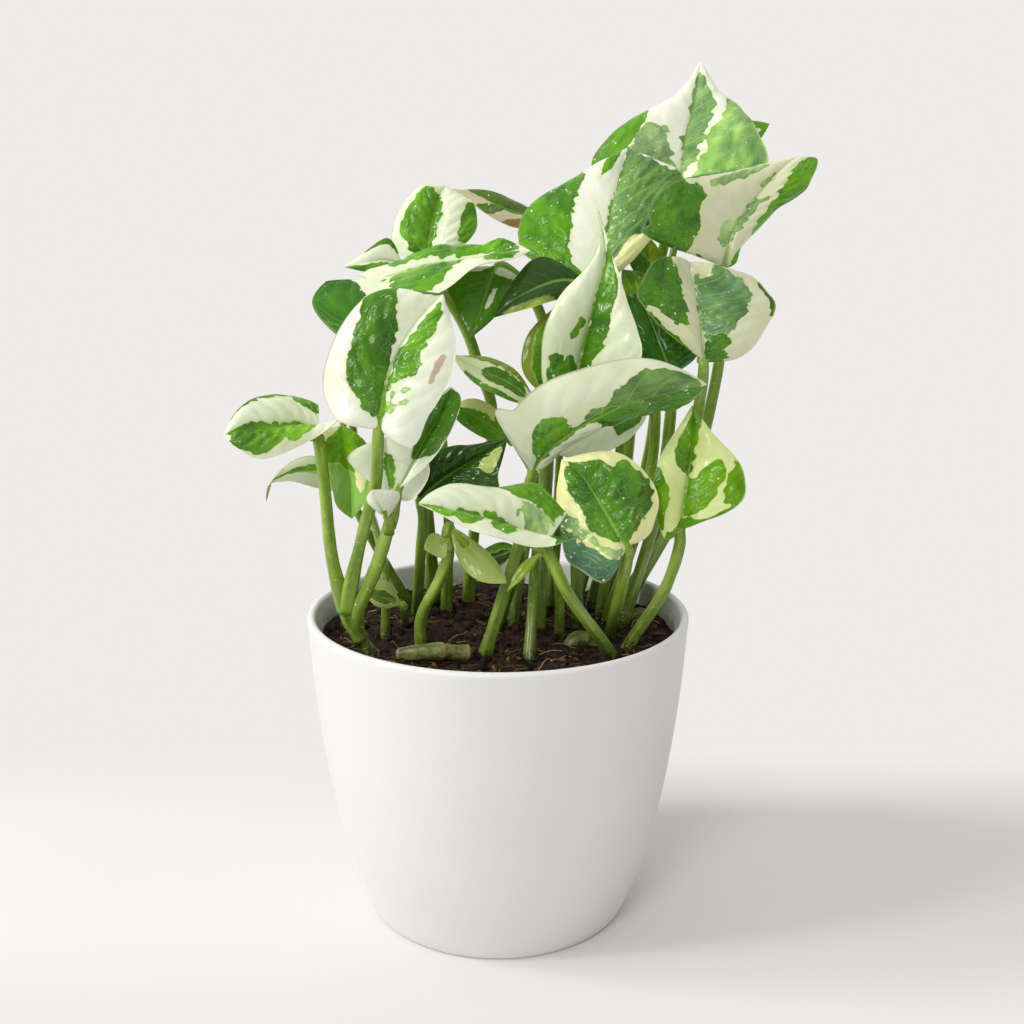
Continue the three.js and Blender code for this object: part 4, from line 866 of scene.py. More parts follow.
class Blade:
    """A blade on its fine grid.

    s runs from base to tip and far from midrib to edge; x and y are mm across
    and along it, and vein counts the side veins.
    """

    def __init__(self, leaf, seed):
        self.leaf, self.seed, self.small = leaf, seed, leaf["small"]
        rows, self.half = SMALL_BLADE_GRID if self.small else BLADE_GRID
        even = np.linspace(0, 1, rows + 1)
        s = EVEN_ROWS * even + (1 - EVEN_ROWS) / 2 * (1 - np.cos(np.pi * even))
        side = np.linspace(-1, 1, 2 * self.half + 1)
        r = np.sign(side) * np.abs(side) ** COLUMN_CROWDING
        self.surface = blade_surface(leaf, s, r)
        # Each pointed end is a row of one point; with it goes the row beside it.
        self.pointed = {0: 1, rows: rows - 1} if leaf["ribs"][0][0] else {rows: rows - 1}
        middle = self.surface[:, self.half]
        along = distances(middle)
        reach = [np.linalg.norm(self.surface[:, edge] - middle, axis=1) for edge in (0, -1)]
        self.length = along[-1]
        self.span = [FLAT_PART * side.max() for side in reach]
        self.wide = np.where(r < 0, reach[0][:, None], reach[1][:, None])
        self.x = r * self.wide
        self.y, self.s, self.far = np.broadcast_arrays(along[:, None], s[:, None], np.abs(r)[None, :])
        self.vein = (self.s - VEIN_SLANT * self.far ** 1.3) * SIDE_VEINS
        self.vein = self.vein + np.where(r < 0, LEFT_VEIN_START, 0)
        self.flat_x = np.broadcast_to(r * np.where(r < 0, *self.span), self.x.shape)

    def marks(self):
        """Depth inside the marks and their colours, in three layers, and how green a place is."""
        distance = np.full((3, *self.x.shape), float(FAR_OUTSIDE))
        colour = np.zeros((3, *self.x.shape, 3)) + linear(TONES[self.leaf["tone"]])
        for tone, *outline in self.leaf["marks"]:
            places = [(r * self.span[r >= 0], s * self.length) for r, s in outline]
            depth = signed_distance(self.flat_x, self.s * self.length, rounded(places))
            layer = 0 if tone in GREY_TONES else 1 if tone in GREEN_TONES else 2
            colour[layer][depth > distance[layer]] = linear(TONES[tone])
            distance[layer] = np.maximum(distance[layer], depth)
        green = step(-0.5, 2.5, np.maximum(distance[0], distance[1]))
        if self.leaf["tone"] in GREEN_TONES:
            green = 1 - 0.8 * step(0, 2, distance[2])
        return distance, colour, green

    def midrib(self, width, power):
        """A ridge along the midrib that fades to the tip."""
        reach = (RIB_WIDTH + RIB_WIDTH * (1 - self.s)) * width
        return bell(self.x, reach) * (1 - self.s) ** power

    def relief(self, green):
        """Folds between the side veins, puckers in the green, edge waves and a sunk midrib."""
        x, y, s, far, seed = self.x, self.y, self.s, self.far, self.seed
        # The relief fades at the midrib, the edge, the base and the tip.
        inside = step(0.04, 0.3, far) * (1 - step(0.72, 1, far)) * step(0, 0.06, s) * (1 - step(0.85, 1, s))
        fold = (1 - np.abs(2 * (self.vein % 1) - 1)) ** 0.7
        across, along = x / NET_LENGTH, y / NET_LENGTH
        net = cells(self.vein * 1.15, across + 0.4 * noise(across, along, seed + 2), seed)
        puckers = step(0, 0.55, net) - 0.5
        puckers = puckers + 0.45 * noise(x / PUCKER_LENGTH, y / PUCKER_LENGTH, seed + 5)
        height = FOLD_HEIGHT * (fold - 0.5) + (PUCKER_HEIGHT + GREEN_PUCKER_HEIGHT * green) * puckers
        high, length = BROAD_WAVE
        broad = high * noise(x / length, y / length, seed + 9) * far
        height = inside * (height + GREEN_RISE * green) + broad
        waves = [high * noise(y / length, np.sign(x) * apart, seed + part)
                 for (high, length), apart, part in zip(EDGE_WAVES, (3.3, 5.1), (21, 33))]
        ends = step(0, 0.08, s) * (1 - step(0.9, 1, s))
        height = height * np.minimum(1, self.wide / EVEN_WIDTH) + sum(waves) * far ** 4 * ends
        height = (height - RIB_GROOVE * self.midrib(1, 0.6)) * (SMALL_RELIEF if self.small else 1)
        height[list(self.pointed)] = 0
        return height

    def normals(self):
        """Where the top side faces; a pointed end faces as the row beside it."""
        normal = np.cross(np.gradient(self.surface, axis=1), np.gradient(self.surface, axis=0))
        flat = np.linalg.norm(normal, axis=-1, keepdims=True) < 1e-7
        normal = unit(np.where(flat, normal[len(normal) // 2, self.half], normal))
        for row, beside in self.pointed.items():
            normal[row] = normal[beside, self.half]
        return normal

    def faces(self):
        """Both sides, the edges between them and, where it starts wide, the base."""
        top = np.arange(self.x.size).reshape(self.x.shape)
        for row in self.pointed:
            top[row] = top[row, self.half]
        under = top + self.x.size
        faces = grid_faces(top) + grid_faces(under, flip=True)
        faces += grid_faces(np.stack([top[:, 0], under[:, 0]], axis=1))
        faces += grid_faces(np.stack([under[:, -1], top[:, -1]], axis=1))
        if 0 not in self.pointed:
            faces += grid_faces([under[0], top[0]])
        return faces

    def add_to(self, mesh):
        distance, colour, green = self.marks()
        height, normal = self.relief(green), self.normals()
        half_thick = (EDGE_THICK + (MIDDLE_THICK - EDGE_THICK) * (1 - self.far ** 3)) / 2
        if self.small:
            half_thick = half_thick * SMALL_THIN
        rib = (SMALL_RIB_BELOW if self.small else RIB_BELOW) * self.midrib(0.8, 0.7)
        top = self.surface + normal * (height + half_thick)[..., None]
        bottom = self.surface + normal * (height - half_thick - rib)[..., None]

        def both(values):
            """The same values on the top and the underside."""
            return np.stack([values, values])

        under = np.arange(2)[:, None, None]
        mesh.add(
            [top, bottom], self.faces(), 0,
            flat=both(stacked(self.x, self.y, self.seed * 3.7)),
            vein=both(stacked(self.vein, self.x / 6, self.seed * 1.3)),
            place=stacked(both(self.s), both(self.far), under),
            base=linear(TONES[self.leaf["tone"]]),
            tone_a=both(colour[0]), tone_b=both(colour[1]), tone_c=both(colour[2]),
            marks=both(stacked(*distance)),
            ragged=np.clip(sum(self.span) / FULL_RAGGED_WIDTH, LEAST_RAGGED, 1),
        )


# Stalks and other stems


def side_directions(path, towards):
    """Two directions across a path at each point; the first faces the given way."""
    tangent = unit(np.gradient(path, axis=0))
    first = []
    side = np.asarray(towards, float)
    for t in tangent:
        side = unit(side - t * np.dot(side, t))
        first.append(side)
    return np.array(first), np.cross(tangent, first)


def add_tube(mesh, path, radius, slot, sides=16, towards=UPWARDS, shape=None, seed=0, **same):
    """A round stem with closed ends; shape(part along, angle) scales its radius."""
    along = distances(path)
    part = along / along[-1]
    first, second = side_directions(path, towards)
    angle = FULL_TURN * np.arange(sides) / sides
    turn = (angle + np.pi) % FULL_TURN - np.pi
    size = np.reshape(radius, (-1, 1)) * np.ones((len(path), sides))
    if shape:
        size = size * shape(part[:, None], turn[None, :])
    out = first[:, None] * np.cos(angle)[:, None] + second[:, None] * np.sin(angle)[:, None]
    points = path[:, None] + out * size[..., None]
    flat = stacked(np.cos(turn), along[:, None], np.sin(turn)).reshape(-1, 3)
    place = stacked(part[:, None], np.abs(turn), seed).reshape(-1, 3)
    mesh.add_rings([path[:1], *points, path[-1:]], slot,
                   flat=np.vstack([(0, 0, 0), flat, (0, along[-1], 0)]),
                   place=np.vstack([(0, 0, seed), place, (1, 0, seed)]), **same)


def stalk_shape(seed):
    """How far a stalk's section departs from a plain round one, with small unevenness."""
    def shape(part, turn):
        ridges = RIDGE_HEIGHT * bell(np.abs(turn), RIDGE_WIDTH, RIDGE_PLACE)
        section = ridges - CHANNEL_DEPTH * bell(turn, CHANNEL_WIDTH)
        knee = KNEE_HEIGHT * bell(part, KNEE_WIDTH, KNEE_PLACE)
        foot = FOOT_SWELL * step(FOOT_STARTS, FOOT_FULL, part)
        uneven = 0.05 * noise(part * 14, seed, seed) + 0.02 * noise(part * 40, turn * 2, seed + 3)
        return 1 + section * step(0.02, 0.15, part) + knee + foot + uneven
    return shape


def root_end(line):
    """Where a stem that goes on below the soil ends."""
    foot, before = np.asarray(line[-1], float), np.asarray(line[-2], float)
    slant = foot - before
    x, y = (foot + slant * ROOT_SLANT * ROOT_DEPTH / abs(slant[2]))[:2]
    return (x, y, foot[2] - ROOT_DEPTH)


def rib_thickness(part):
    """The rib under a blade grows into the stalk, whose radius is 1."""
    return RIB_START_THICK + RIB_GAIN * part ** 2.5


def add_stalk(mesh, leaf, seed):
    """A rib under the blade's midrib that goes on as the stalk."""
    first = blade_surface(leaf, np.array([STALK_AIMS_AT]), np.zeros(1))[0, 0]
    inside = leaf["base"] + STALK_INTO_BLADE * unit(first - leaf["base"])
    line = [inside, leaf["base"], *leaf["stalk"]]
    if leaf["rooted"]:
        line.append(root_end(line))
    per_piece = 10
    route = catmull(line, per_piece)[per_piece:]
    s = np.linspace(RIB_END, 0.02, RIB_POINTS)
    ribs = blade_surface(leaf, s, np.array([-0.06, 0, 0.06]))
    normal = unit(np.cross(np.gradient(ribs[:, 1], axis=0), ribs[:, 2] - ribs[:, 0]))
    depth = leaf["radius"] * rib_thickness(np.linspace(0, 1, RIB_POINTS)) + 0.15
    rib = ribs[:, 1] - normal * depth[:, None]
    path, at = evenly(np.concatenate([rib, route[1:]]), STALK_STEP)
    rib_length = distances(rib)[-1]
    within = np.clip(at / rib_length, 0, 1)
    beyond = np.clip((at - rib_length) / max(at[-1] - rib_length, 1), 0, 1)
    thick = rib_thickness(within) + 0.12 * step(0, 0.1, beyond) + 0.08 * beyond
    add_tube(mesh, path, leaf["radius"] * thick, 1, shape=stalk_shape(seed), towards=normal[0], seed=seed)


def beyond_joint(part, turn):
    """How far a place on an old stem lies beyond its slanting joint."""
    return part - JOINT - JOINT_SLANT * np.sin(turn)


def old_stem_shape(seed):
    """An old stem's section: thickening to a joint and a flare, with rough ends."""
    def shape(part, turn):
        past = beyond_joint(part, turn)
        joint = 0.2 * step(-0.2, 0, past) * step(0.025, 0, past)
        flare = 0.14 * step(0.8, 0.96, part) * step(0.985, 0.965, part)
        taper = 0.66 + 0.2 * step(0, 0.42, part)
        ends = 1 - 0.3 * step(0.97, 1, part) - 0.3 * step(0.04, 0, part)
        return (taper + joint + flare + 0.1 * noise(part * 5, turn * 1.1, 70 + seed)) * ends
    return shape


# Materials

# How far the marks' edges wander, in mm: lobes along the side veins, scallops and flecks
LOBES, SCALLOPS, FLECKS = 4.4, 3.2, 0.8
# Share of that in each layer of marks, and how far all edges are moved out
LAYER_WANDER = (1.0, 0.8, 0.6)
EDGE_OUT = 0.4
EDGE_SOFT = 0.14
# A yellow-green halo round the green, as linear values
HALO = (0.62, 0.74, 0.24, 1)
HALO_WIDTH = 1.1
# Pale dots, partly specks of dust and minerals and partly painted glints of water drops: scattered points
# per metre, and the share of them left out
DOTS = 400
DOTS_LEFT_OUT = 0.5


class Value:
    """A number, colour or vector inside a material; plain arithmetic combines numbers."""

    def __init__(self, nodes, socket):
        self.nodes, self.socket = nodes, socket

    def __add__(self, other):
        return self.nodes.math("ADD", self, other)

    def __sub__(self, other):
        return self.nodes.math("SUBTRACT", self, other)

    def __rsub__(self, other):
        return self.nodes.math("SUBTRACT", other, self)

    def __mul__(self, other):
        return self.nodes.math("MULTIPLY", self, other)


class Nodes:
    """A tree of shading nodes being built."""

    def __init__(self, tree):
        self.tree = tree

    def put(self, socket, value):
        """Fills a socket with a value, a plain number or a colour's name."""
        if isinstance(value, Value):
            self.tree.links.new(value.socket, socket)
        elif isinstance(value, str):
            socket.default_value = (*linear(COLOURS[value]), 1)
        else:
            socket.default_value = value

    def node(self, kind, inputs=(), **settings):
        made = self.tree.nodes.new("ShaderNode" + kind)
        for key, value in settings.items():
            setattr(made, key, value)
        for key, value in dict(inputs).items():
            self.put(made.inputs[key], value)
        return made

    def out(self, kind, inputs=(), output=0, **settings):
        return Value(self, self.node(kind, inputs, **settings).outputs[output])

    def attribute(self, name, output="Vector"):
        return self.out("Attribute", output=output, attribute_name=name)

    def place(self):
        return self.out("TexCoord", output="Object")

    def math(self, operation, *values):
        return self.out("Math", enumerate(values), operation=operation)

    def mix(self, factor, a, b, blend="MIX"):
        return self.out("Mix", {0: factor, 6: a, 7: b}, 2, data_type="RGBA", blend_type=blend)

    def tinted(self, colour, red, green, blue):
        return self.mix(1, colour, (red, green, blue, 1), "MULTIPLY")

    def ramp(self, value, low, high, out_low=0, out_high=1):
        """A smooth step from out_low at low to out_high at high."""
        limits = (value, low, high, out_low, out_high)
        return self.out("MapRange", enumerate(limits), interpolation_type="SMOOTHSTEP")

    def split(self, vector):
        made = self.node("SeparateXYZ", {0: vector})
        return [Value(self, socket) for socket in made.outputs]

    def stretched(self, vector, stretch):
        return self.out("Mapping", {"Vector": vector, "Scale": stretch})

    def noise(self, vector, scale, detail, rough=0.5, stretch=None):
        if stretch:
            vector = self.stretched(vector, stretch)
        inputs = {"Vector": vector, "Scale": scale, "Detail": detail, "Roughness": rough}
        return self.out("TexNoise", inputs)

    def scatter(self, vector, scale):
        """Distance to the nearest of scattered points, and three random numbers of that point."""
        made = self.node("TexVoronoi", {"Vector": vector, "Scale": scale})
        return Value(self, made.outputs["Distance"]), self.split(Value(self, made.outputs["Color"]))

    def bump(self, height, strength, distance, before=None):
        inputs = {"Height": height, "Strength": strength, "Distance": distance}
        if before:
            inputs["Normal"] = before
        return self.out("Bump", inputs)


class Material(Nodes):
    """A material; finish fills its shader's inputs and gives it back."""

    def __init__(self, name):
        self.material = bpy.data.materials.new(name)
        self.material.use_nodes = True
        super().__init__(self.material.node_tree)
        self.tree.nodes.clear()

    def finish(self, **inputs):
        named = {key.replace("_", " "): value for key, value in inputs.items()}
        self.node("OutputMaterial", {0: self.out("BsdfPrincipled", named)})
        return self.material


def green_tone(m, tone, cloud, spread, inside):
    """A green mark's own play of light, dark and blue-green places, darker at its edge."""
    base = m.mix(m.ramp(cloud, 0.3, 0.5), m.tinted(tone, 0.6, 0.66, 0.8), tone)
    base = m.mix(m.ramp(cloud, 0.5, 0.7), base, m.tinted(tone, 1.45, 1.3, 1.6))
    base = m.mix(spread * 0.4, base, m.tinted(base, 0.45, 0.58, 1.2))
    return m.mix(m.ramp(inside, 0.7, 0.1) * 0.35, base, m.tinted(base, 0.5, 0.6, 0.5))


def variegation(m, flat, vein, patch):
    """The blade's colour with its marks, and how grey-green and how green a place is."""
    lobes = m.noise(vein, 1.5, 0, stretch=(1.5, 0.6, 1))
    scallops = m.noise(flat, 0.42, 0)
    flecks = m.noise(flat, 1.3, 1)
    wander = (lobes - 0.5) * LOBES + ((scallops - 0.5) * SCALLOPS + (flecks - 0.5) * FLECKS)
    wander = wander * m.attribute("ragged", "Fac")
    base = m.attribute("base", "Color")
    broad = m.noise(flat, 0.11, 1)
    colour = m.mix(m.ramp(broad, 0.35, 0.7), base, m.tinted(base, 0.95, 0.96, 0.86))
    cloud = m.noise(flat, 0.1, 1.5, 0.45)
    spread = m.ramp((flecks - 0.5) * 0.3 + patch, 0.5, 0.55)
    masks = []
    depths = m.split(m.attribute("marks"))
    for depth, key, share in zip(depths, ("tone_a", "tone_b", "tone_c"), LAYER_WANDER):
        inside = wander * share + (depth + EDGE_OUT)
        tone = m.attribute(key, "Color")
        if key != "tone_c":
            tone = green_tone(m, tone, cloud, spread, inside)
            colour = m.mix(m.ramp(inside, -HALO_WIDTH, 0) * 0.4, colour, HALO)
        masks.append(m.ramp(inside, -EDGE_SOFT, EDGE_SOFT))
        colour = m.mix(masks[-1], colour, tone)
    return colour, masks[0], m.math("MAXIMUM", masks[0], masks[1])


def leaf_material():
    m = Material("variegated_leaf")
    flat, vein = m.attribute("flat"), m.attribute("vein")
    s, far, under = m.split(m.attribute("place"))
    across, along = m.split(flat)[0], m.split(vein)[0]
    patch = m.noise(vein, 1.3, 2, stretch=(1, 0.7, 1))
    colour, greyish, greenish = variegation(m, flat, vein, patch)
    # A pale midrib that narrows to the tip, and faint side veins
    width = (1 - s) * 0.6 + 0.05
    rib = m.ramp(m.math("ABSOLUTE", across) - width, -0.15, 0.3, 1, 0)
    colour = m.mix(rib * m.ramp(s, 0.95, 0.3, 0.15, 0.6), colour, "midrib")
    from_vein = m.math("ABSOLUTE", m.math("FRACT", along) - 0.5)
    side = m.ramp(from_vein, 0.45, 0.5) * m.ramp(far, 0.9, 0.15)
    colour = m.mix(side * (greyish * 0.3 + 0.12), colour, "side vein")
    # A pale net between the puckers, in patches of the green: partly pale veins, partly painted highlights
    # on the puckers' edges
    shift = m.out("TexNoise", {"Vector": flat, "Scale": 0.3, "Detail": 1}, output="Color")
    bent = m.out("VectorMath", {0: vein, 1: shift})
    net = m.out("TexVoronoi", {"Vector": bent, "Scale": 2.2}, "Distance", feature="DISTANCE_TO_EDGE")
    lines = m.ramp(net, 0.05, 0.015) * m.ramp(patch, 0.5, 0.62) * (greenish * 0.2)
    colour = m.mix(lines, colour, "net")
    # Pale dots on the green's upper side: partly specks of dust and minerals, partly painted glints of
    # water drops
    distance, (chance, large, _) = m.scatter(m.place(), DOTS)
    dot = m.math("LESS_THAN", distance, m.ramp(large, 0, 1, 0.05, 0.16))
    dot = m.ramp(chance, DOTS_LEFT_OUT, DOTS_LEFT_OUT + 0.02) * dot * (greenish * (1 - under))
    colour = m.mix(dot * 0.85, colour, "dot")
    colour = m.mix(m.ramp(far, 0.965, 0.995) * 0.35, colour, "blade edge")
    colour = m.mix(under * 0.4, colour, "underside")
    # Small cushions between the veins, which also vary the gloss
    cushions = m.noise(flat, 0.42, 1)
    bumps = m.bump(cushions, greenish * 0.5 + 0.12, 0.001)
    bumps = m.bump(side, greenish * -0.3 - 0.15, 0.0002, bumps)
    bumps = m.bump(dot, 0.6, 0.0002, bumps)
    rough = m.ramp(cushions, 0.3, 0.7, 0.1, 0.2) + under * 0.25
    return m.finish(Base_Color=colour, Roughness=rough, Normal=bumps, Specular_IOR_Level=0.28,
                    Coat_Weight=0.1, Coat_Roughness=0.05)


def stalk_material():
    """Green with streaks and specks, the pale specks partly painted glints of water drops, pale at the top
    and brown where the soil touches it.
    """
    m = Material("green_stalk")
    flat, place = m.attribute("flat"), m.attribute("place")
    lines = m.noise(flat, 0.9, 2, stretch=(1, 0.04, 1))
    patches = m.noise(flat, 0.3, 3, 0.6, (3, 1, 3))
    lengths = m.noise(place, 6, 2, stretch=(1, 0, 1))
    tan = m.noise(place, 5, 2, 0.55, (1.6, 0.8, 1))
    colour = m.mix(m.ramp(lines, 0.3, 0.7), "stalk", "stalk streak")
    colour = m.mix(m.ramp(lengths, 0.4, 0.65, 0, 0.6), colour, "stalk shade")
    colour = m.mix(m.ramp(patches, 0.52, 0.75, 0, 0.45), colour, "stalk patch")
    colour = m.mix(m.ramp(tan, 0.52, 0.72, 0, 0.55), colour, "stalk tan")
    colour = m.mix(m.ramp(m.split(place)[0], 0.2, 0.02), colour, "stalk top")
    height = (patches - 0.5) * 0.02 + m.split(m.place())[2]
    colour = m.mix(m.ramp(height, 0.124, 0.107, 0, 0.55), colour, "stalk foot")
    colour = m.mix(m.ramp(height, 0.109, 0.1065, 0, 0.8), colour, "stalk dirt")
    # Specks: brown ones, and pale ones that are partly real specks and partly painted glints of water
    # drops.
    distance, (chance, large, kind) = m.scatter(m.stretched(flat, (1, 0.45, 1)), 1.3)
    speck = m.math("GREATER_THAN", chance, 0.42) * m.ramp(distance - large * 0.15, 0.1, 0.04)
    tone = m.mix(m.math("GREATER_THAN", kind, 0.75), "pale speck", "brown speck")
    colour = m.mix(speck * 0.75, colour, tone)
    bumps = m.bump(speck, 0.5, 0.0002, m.bump(lines, 0.12, 0.0003))
    return m.finish(Base_Color=colour, Roughness=0.22, Normal=bumps, Specular_IOR_Level=0.42)


def old_stem_material():
    """Weathered green bark with brown spots, fibrous at the joints and cuts."""
    m = Material("old_stem_bark")
    flat = m.attribute("flat")
    streaks = m.noise(flat, 0.8, 4, 0.6, (2.2, 0.3, 2.2))
    spots = m.noise(flat, 1.4, 4, 0.65)
    colour = m.mix(m.ramp(streaks, 0.36, 0.62), "bark", "bark streak")
    colour = m.mix(m.ramp(spots, 0.48, 0.66, 0, 0.8), colour, "bark spot")
    colour = m.mix(m.attribute("joint", "Fac"), colour, m.mix(spots, "joint", "joint fibre"))
    bumps = m.bump(streaks + spots * 0.4, 0.6, 0.0005)
    return m.finish(Base_Color=colour, Roughness=0.45, Normal=bumps)


def soil_material():
    """Dark peat, tinted where a crumb, chip or fibre has a colour of its own."""
    m = Material("potting_soil")
    crumbs = m.noise(m.place(), 420, 5, 0.7)
    patches = m.noise(m.place(), 90, 3, 0.6)
    colour = m.mix(m.ramp(crumbs, 0.38, 0.72), "peat", "peat crumb")
    colour = m.mix(m.ramp(patches, 0.5, 0.75, 0, 0.6), colour, "peat patch")
    colour = m.mix(m.attribute("own", "Fac") * 0.75, colour, m.attribute("tint", "Color"))
    return m.finish(Base_Color=colour, Roughness=0.9, Normal=m.bump(crumbs, 0.7, 0.0009),
                    Specular_IOR_Level=0.25)


def pot_material():
    """Matte white with a fine grain, and a little soil dirt inside the rim."""
    m = Material("white_pot")
    place = m.place()
    grain = m.noise(place, 1400, 2, 0.6)
    cloud = m.noise(place, 14, 3, 0.55)
    smears = m.noise(place, 120, 4, 0.65)
    near_soil = m.ramp(m.split(place)[2], 0.112, 0.1055)
    dirt = m.attribute("inner", "Fac") * m.ramp(smears, 0.42, 0.62) * near_soil
    colour = m.mix(dirt * 0.5, m.mix(m.ramp(cloud, 0.3, 0.7), "pot", "pot cloud"), "pot dirt")
    return m.finish(Base_Color=colour, Roughness=m.ramp(cloud, 0.3, 0.7, 0.42, 0.5),
                    Normal=m.bump(grain, 0.05, 0.0002), Specular_IOR_Level=0.4)


# Pot and soil


def circle(radius, segments, height):
    """A ring of points; height is a number or a function of x and y."""
    angle = FULL_TURN * np.arange(segments) / segments
    x, y = radius * np.cos(angle), radius * np.sin(angle)
    return stacked(x, y, height(x, y) if callable(height) else height)


def make_pot(material):
    """One profile turned round the axis: inner floor, wall, rim, side, foot and base."""
    lip = POT_WALL / 2
    stops, radii = zip(*POT_SIDE, (POT_HEIGHT, POT_RIM_RADIUS))
    heights = np.linspace(stops[0], POT_HEIGHT - lip, POT_ROWS)
    radii = smooth_at(stops, np.reshape(radii, (-1, 1)), heights)[:, 0]
    side = list(zip(radii, heights))[:-1]
    inside = [(r - POT_WALL, z) for r, z in side if z > POT_FLOOR + FLOOR_CLEAR]
    inner_floor = [(0, POT_FLOOR), (POT_SIDE[0][1] - POT_WALL, POT_FLOOR)]
    rim_radius, rim_height = POT_RIM_RADIUS - lip, POT_HEIGHT - lip
    rim = [(rim_radius - lip * math.cos(a), rim_height + lip * math.sin(a))
           for a in np.linspace(0, math.pi, RIM_POINTS)]
    foot_radius = POT_BASE_RADIUS - FOOT_ROUND
    foot = [(foot_radius + (FOOT_ROUND + FOOT_SPREAD) * math.sin(a), FOOT_ROUND * (1 - math.cos(a)))
            for a in np.linspace(0, math.pi / 2, FOOT_STEPS + 1)[-2::-1]]
    ring = POT_BASE_RADIUS - FOOT_RING
    base = [(ring, 0), (ring - FOOT_BEVEL, FOOT_HOLLOW), (0, FOOT_HOLLOW)]
    profile = inner_floor + inside + rim + side[::-1] + foot + base
    mesh = Mesh()
    rings = [circle(r, POT_SEGMENTS, z) if r else [(0, 0, z)] for r, z in profile]
    x, y, z = np.concatenate(rings).T
    inner = (np.hypot(x, y) < np.interp(z, heights, radii) - INNER_DEPTH) & (z > INNER_START)
    mesh.add_rings(rings, 0, inner=inner)
    mesh.build("pot", [material], "pot")


def soil_height(x, y):
    """The peat's surface, a little raised round each stalk."""
    foot = np.min(np.hypot(np.subtract.outer(x, FEET[:, 0]), np.subtract.outer(y, FEET[:, 1])), axis=-1)
    height = SOIL_TOP + SOIL_MIDDLE_RISE - SOIL_EDGE_DROP * step(*SOIL_EDGE, np.hypot(x, y))
    height = height + MOUND_HEIGHT * bell(foot, MOUND_RADIUS)
    for seed, (high, width) in enumerate(SOIL_BUMPS, 3):
        height = height + high * noise(x / width, y / width, seed)
    return height


def on_soil(x, y, above):
    return (x, y, float(soil_height(x, y)) + above)


def draw_place(rng, margin):
    """A random direction and place on the soil, evenly spread over it."""
    angle, radius = rng.uniform(0, FULL_TURN), (SOIL_RADIUS - margin) * rng.uniform(0, 1) ** 0.5
    return angle, radius * np.cos(angle), radius * np.sin(angle)


def lump(rng, size):
    """A rough crumb: a small ball with its points moved about."""
    phi = (1 + 5 ** 0.5) / 2
    corners = [(-1, phi, 0), (1, phi, 0), (-1, -phi, 0), (1, -phi, 0), (0, -1, phi), (0, 1, phi),
               (0, -1, -phi), (0, 1, -phi), (phi, 0, -1), (phi, 0, 1), (-phi, 0, -1), (-phi, 0, 1)]
    sides = [(0, 11, 5), (0, 5, 1), (0, 1, 7), (0, 7, 10), (0, 10, 11), (1, 5, 9), (5, 11, 4), (11, 10, 2),
             (10, 7, 6), (7, 1, 8), (3, 9, 4), (3, 4, 2), (3, 2, 6), (3, 6, 8), (3, 8, 9), (4, 9, 5),
             (2, 4, 11), (6, 2, 10), (8, 6, 7), (9, 8, 1)]
    points, faces, middle = list(unit(np.array(corners))), [], {}

    def between(a, b):
        key = (min(a, b), max(a, b))
        if key not in middle:
            middle[key] = len(points)
            points.append(unit(points[a] + points[b]))
        return middle[key]

    for a, b, c in sides:
        ab, bc, ca = between(a, b), between(b, c), between(c, a)
        faces += [(a, ab, ca), (b, bc, ab), (c, ca, bc), (ab, bc, ca)]
    points = np.array(points) * rng.uniform(0.78, 1.22, (len(points), 1)) * rng.uniform(0.4, 1.5, 3)
    turn, _ = np.linalg.qr(rng.normal(size=(3, 3)))
    return points @ turn * size, faces


def add_bed(mesh):
    """The peat itself, down to its flat underside."""
    rings = [circle(r, SOIL_SECTORS, soil_height)
             for r in SOIL_RADIUS * np.linspace(0, 1, SOIL_RINGS + 1)[1:] ** 0.8]
    rings += [circle(SOIL_RADIUS * SOIL_WAIST_PART, SOIL_SECTORS, z) for z in (SOIL_WAIST, SOIL_BOTTOM)]
    mesh.add_rings([[on_soil(0, 0, 0)], *rings, [(0, 0, SOIL_BOTTOM)]], 0)


def add_crumbs(mesh, rng):
    """Lumps of peat, the first of them round the stalks' feet."""
    around = np.repeat(FEET, CRUMBS_ROUND_STALK, axis=0)
    for k in range(CRUMBS):
        angle, x, y = draw_place(rng, 2)
        size = rng.uniform(0.45, 1) * (LARGE_CRUMB if rng.random() < 0.25 else 1)
        points, faces = lump(rng, size)
        if k < len(around):
            x, y = around[k] + CRUMB_FROM_STALK * np.array([np.cos(angle), np.sin(angle)])
        shade = CRUMB_SHADES[rng.choice(len(CRUMB_SHADES), p=CRUMB_ODDS)]
        mesh.add(points + on_soil(x, y, 0.2 * size), faces, 0, tint=linear(shade), own=1)


def add_chips(mesh, rng):
    """Flat chips of bark, each turned its own way."""
    for _ in range(CHIPS):
        _, x, y = draw_place(rng, 3)
        points, faces = lump(rng, 1)
        turn = rng.uniform(0, np.pi)
        points = points * (rng.uniform(1.4, 2.8), rng.uniform(0.6, 1.1), rng.uniform(0.35, 0.6))
        c, s = np.cos(turn), np.sin(turn)
        points = points @ np.array([[c, s, 0], [-s, c, 0], [0, 0, 1]])
        shade = CHIP_SHADES[rng.integers(len(CHIP_SHADES))]
        mesh.add(points + on_soil(x, y, 0.5), faces, 0, tint=linear(shade), own=1)


def add_fibres(mesh, rng):
    """Thin root fibres that wander over the peat and stop near the wall."""
    for _ in range(FIBRES):
        _, x, y = draw_place(rng, 6)
        way, bend = rng.uniform(0, FULL_TURN), rng.uniform(-0.22, 0.22)
        line = []
        for k in range(FIBRE_POINTS):
            line.append(on_soil(x, y, 0.35 + 0.5 * math.sin(k * 0.9)))
            way += bend + rng.uniform(-0.3, 0.3)
            x, y = x + FIBRE_STEP * math.cos(way), y + FIBRE_STEP * math.sin(way)
            if math.hypot(x, y) > SOIL_RADIUS - 2:
                break
        if len(line) < 4:
            continue
        shade = FIBRE_SHADES[rng.integers(len(FIBRE_SHADES))]
        add_tube(mesh, catmull(line, 3), rng.uniform(0.07, 0.2), 0, sides=5, tint=linear(shade), own=1)


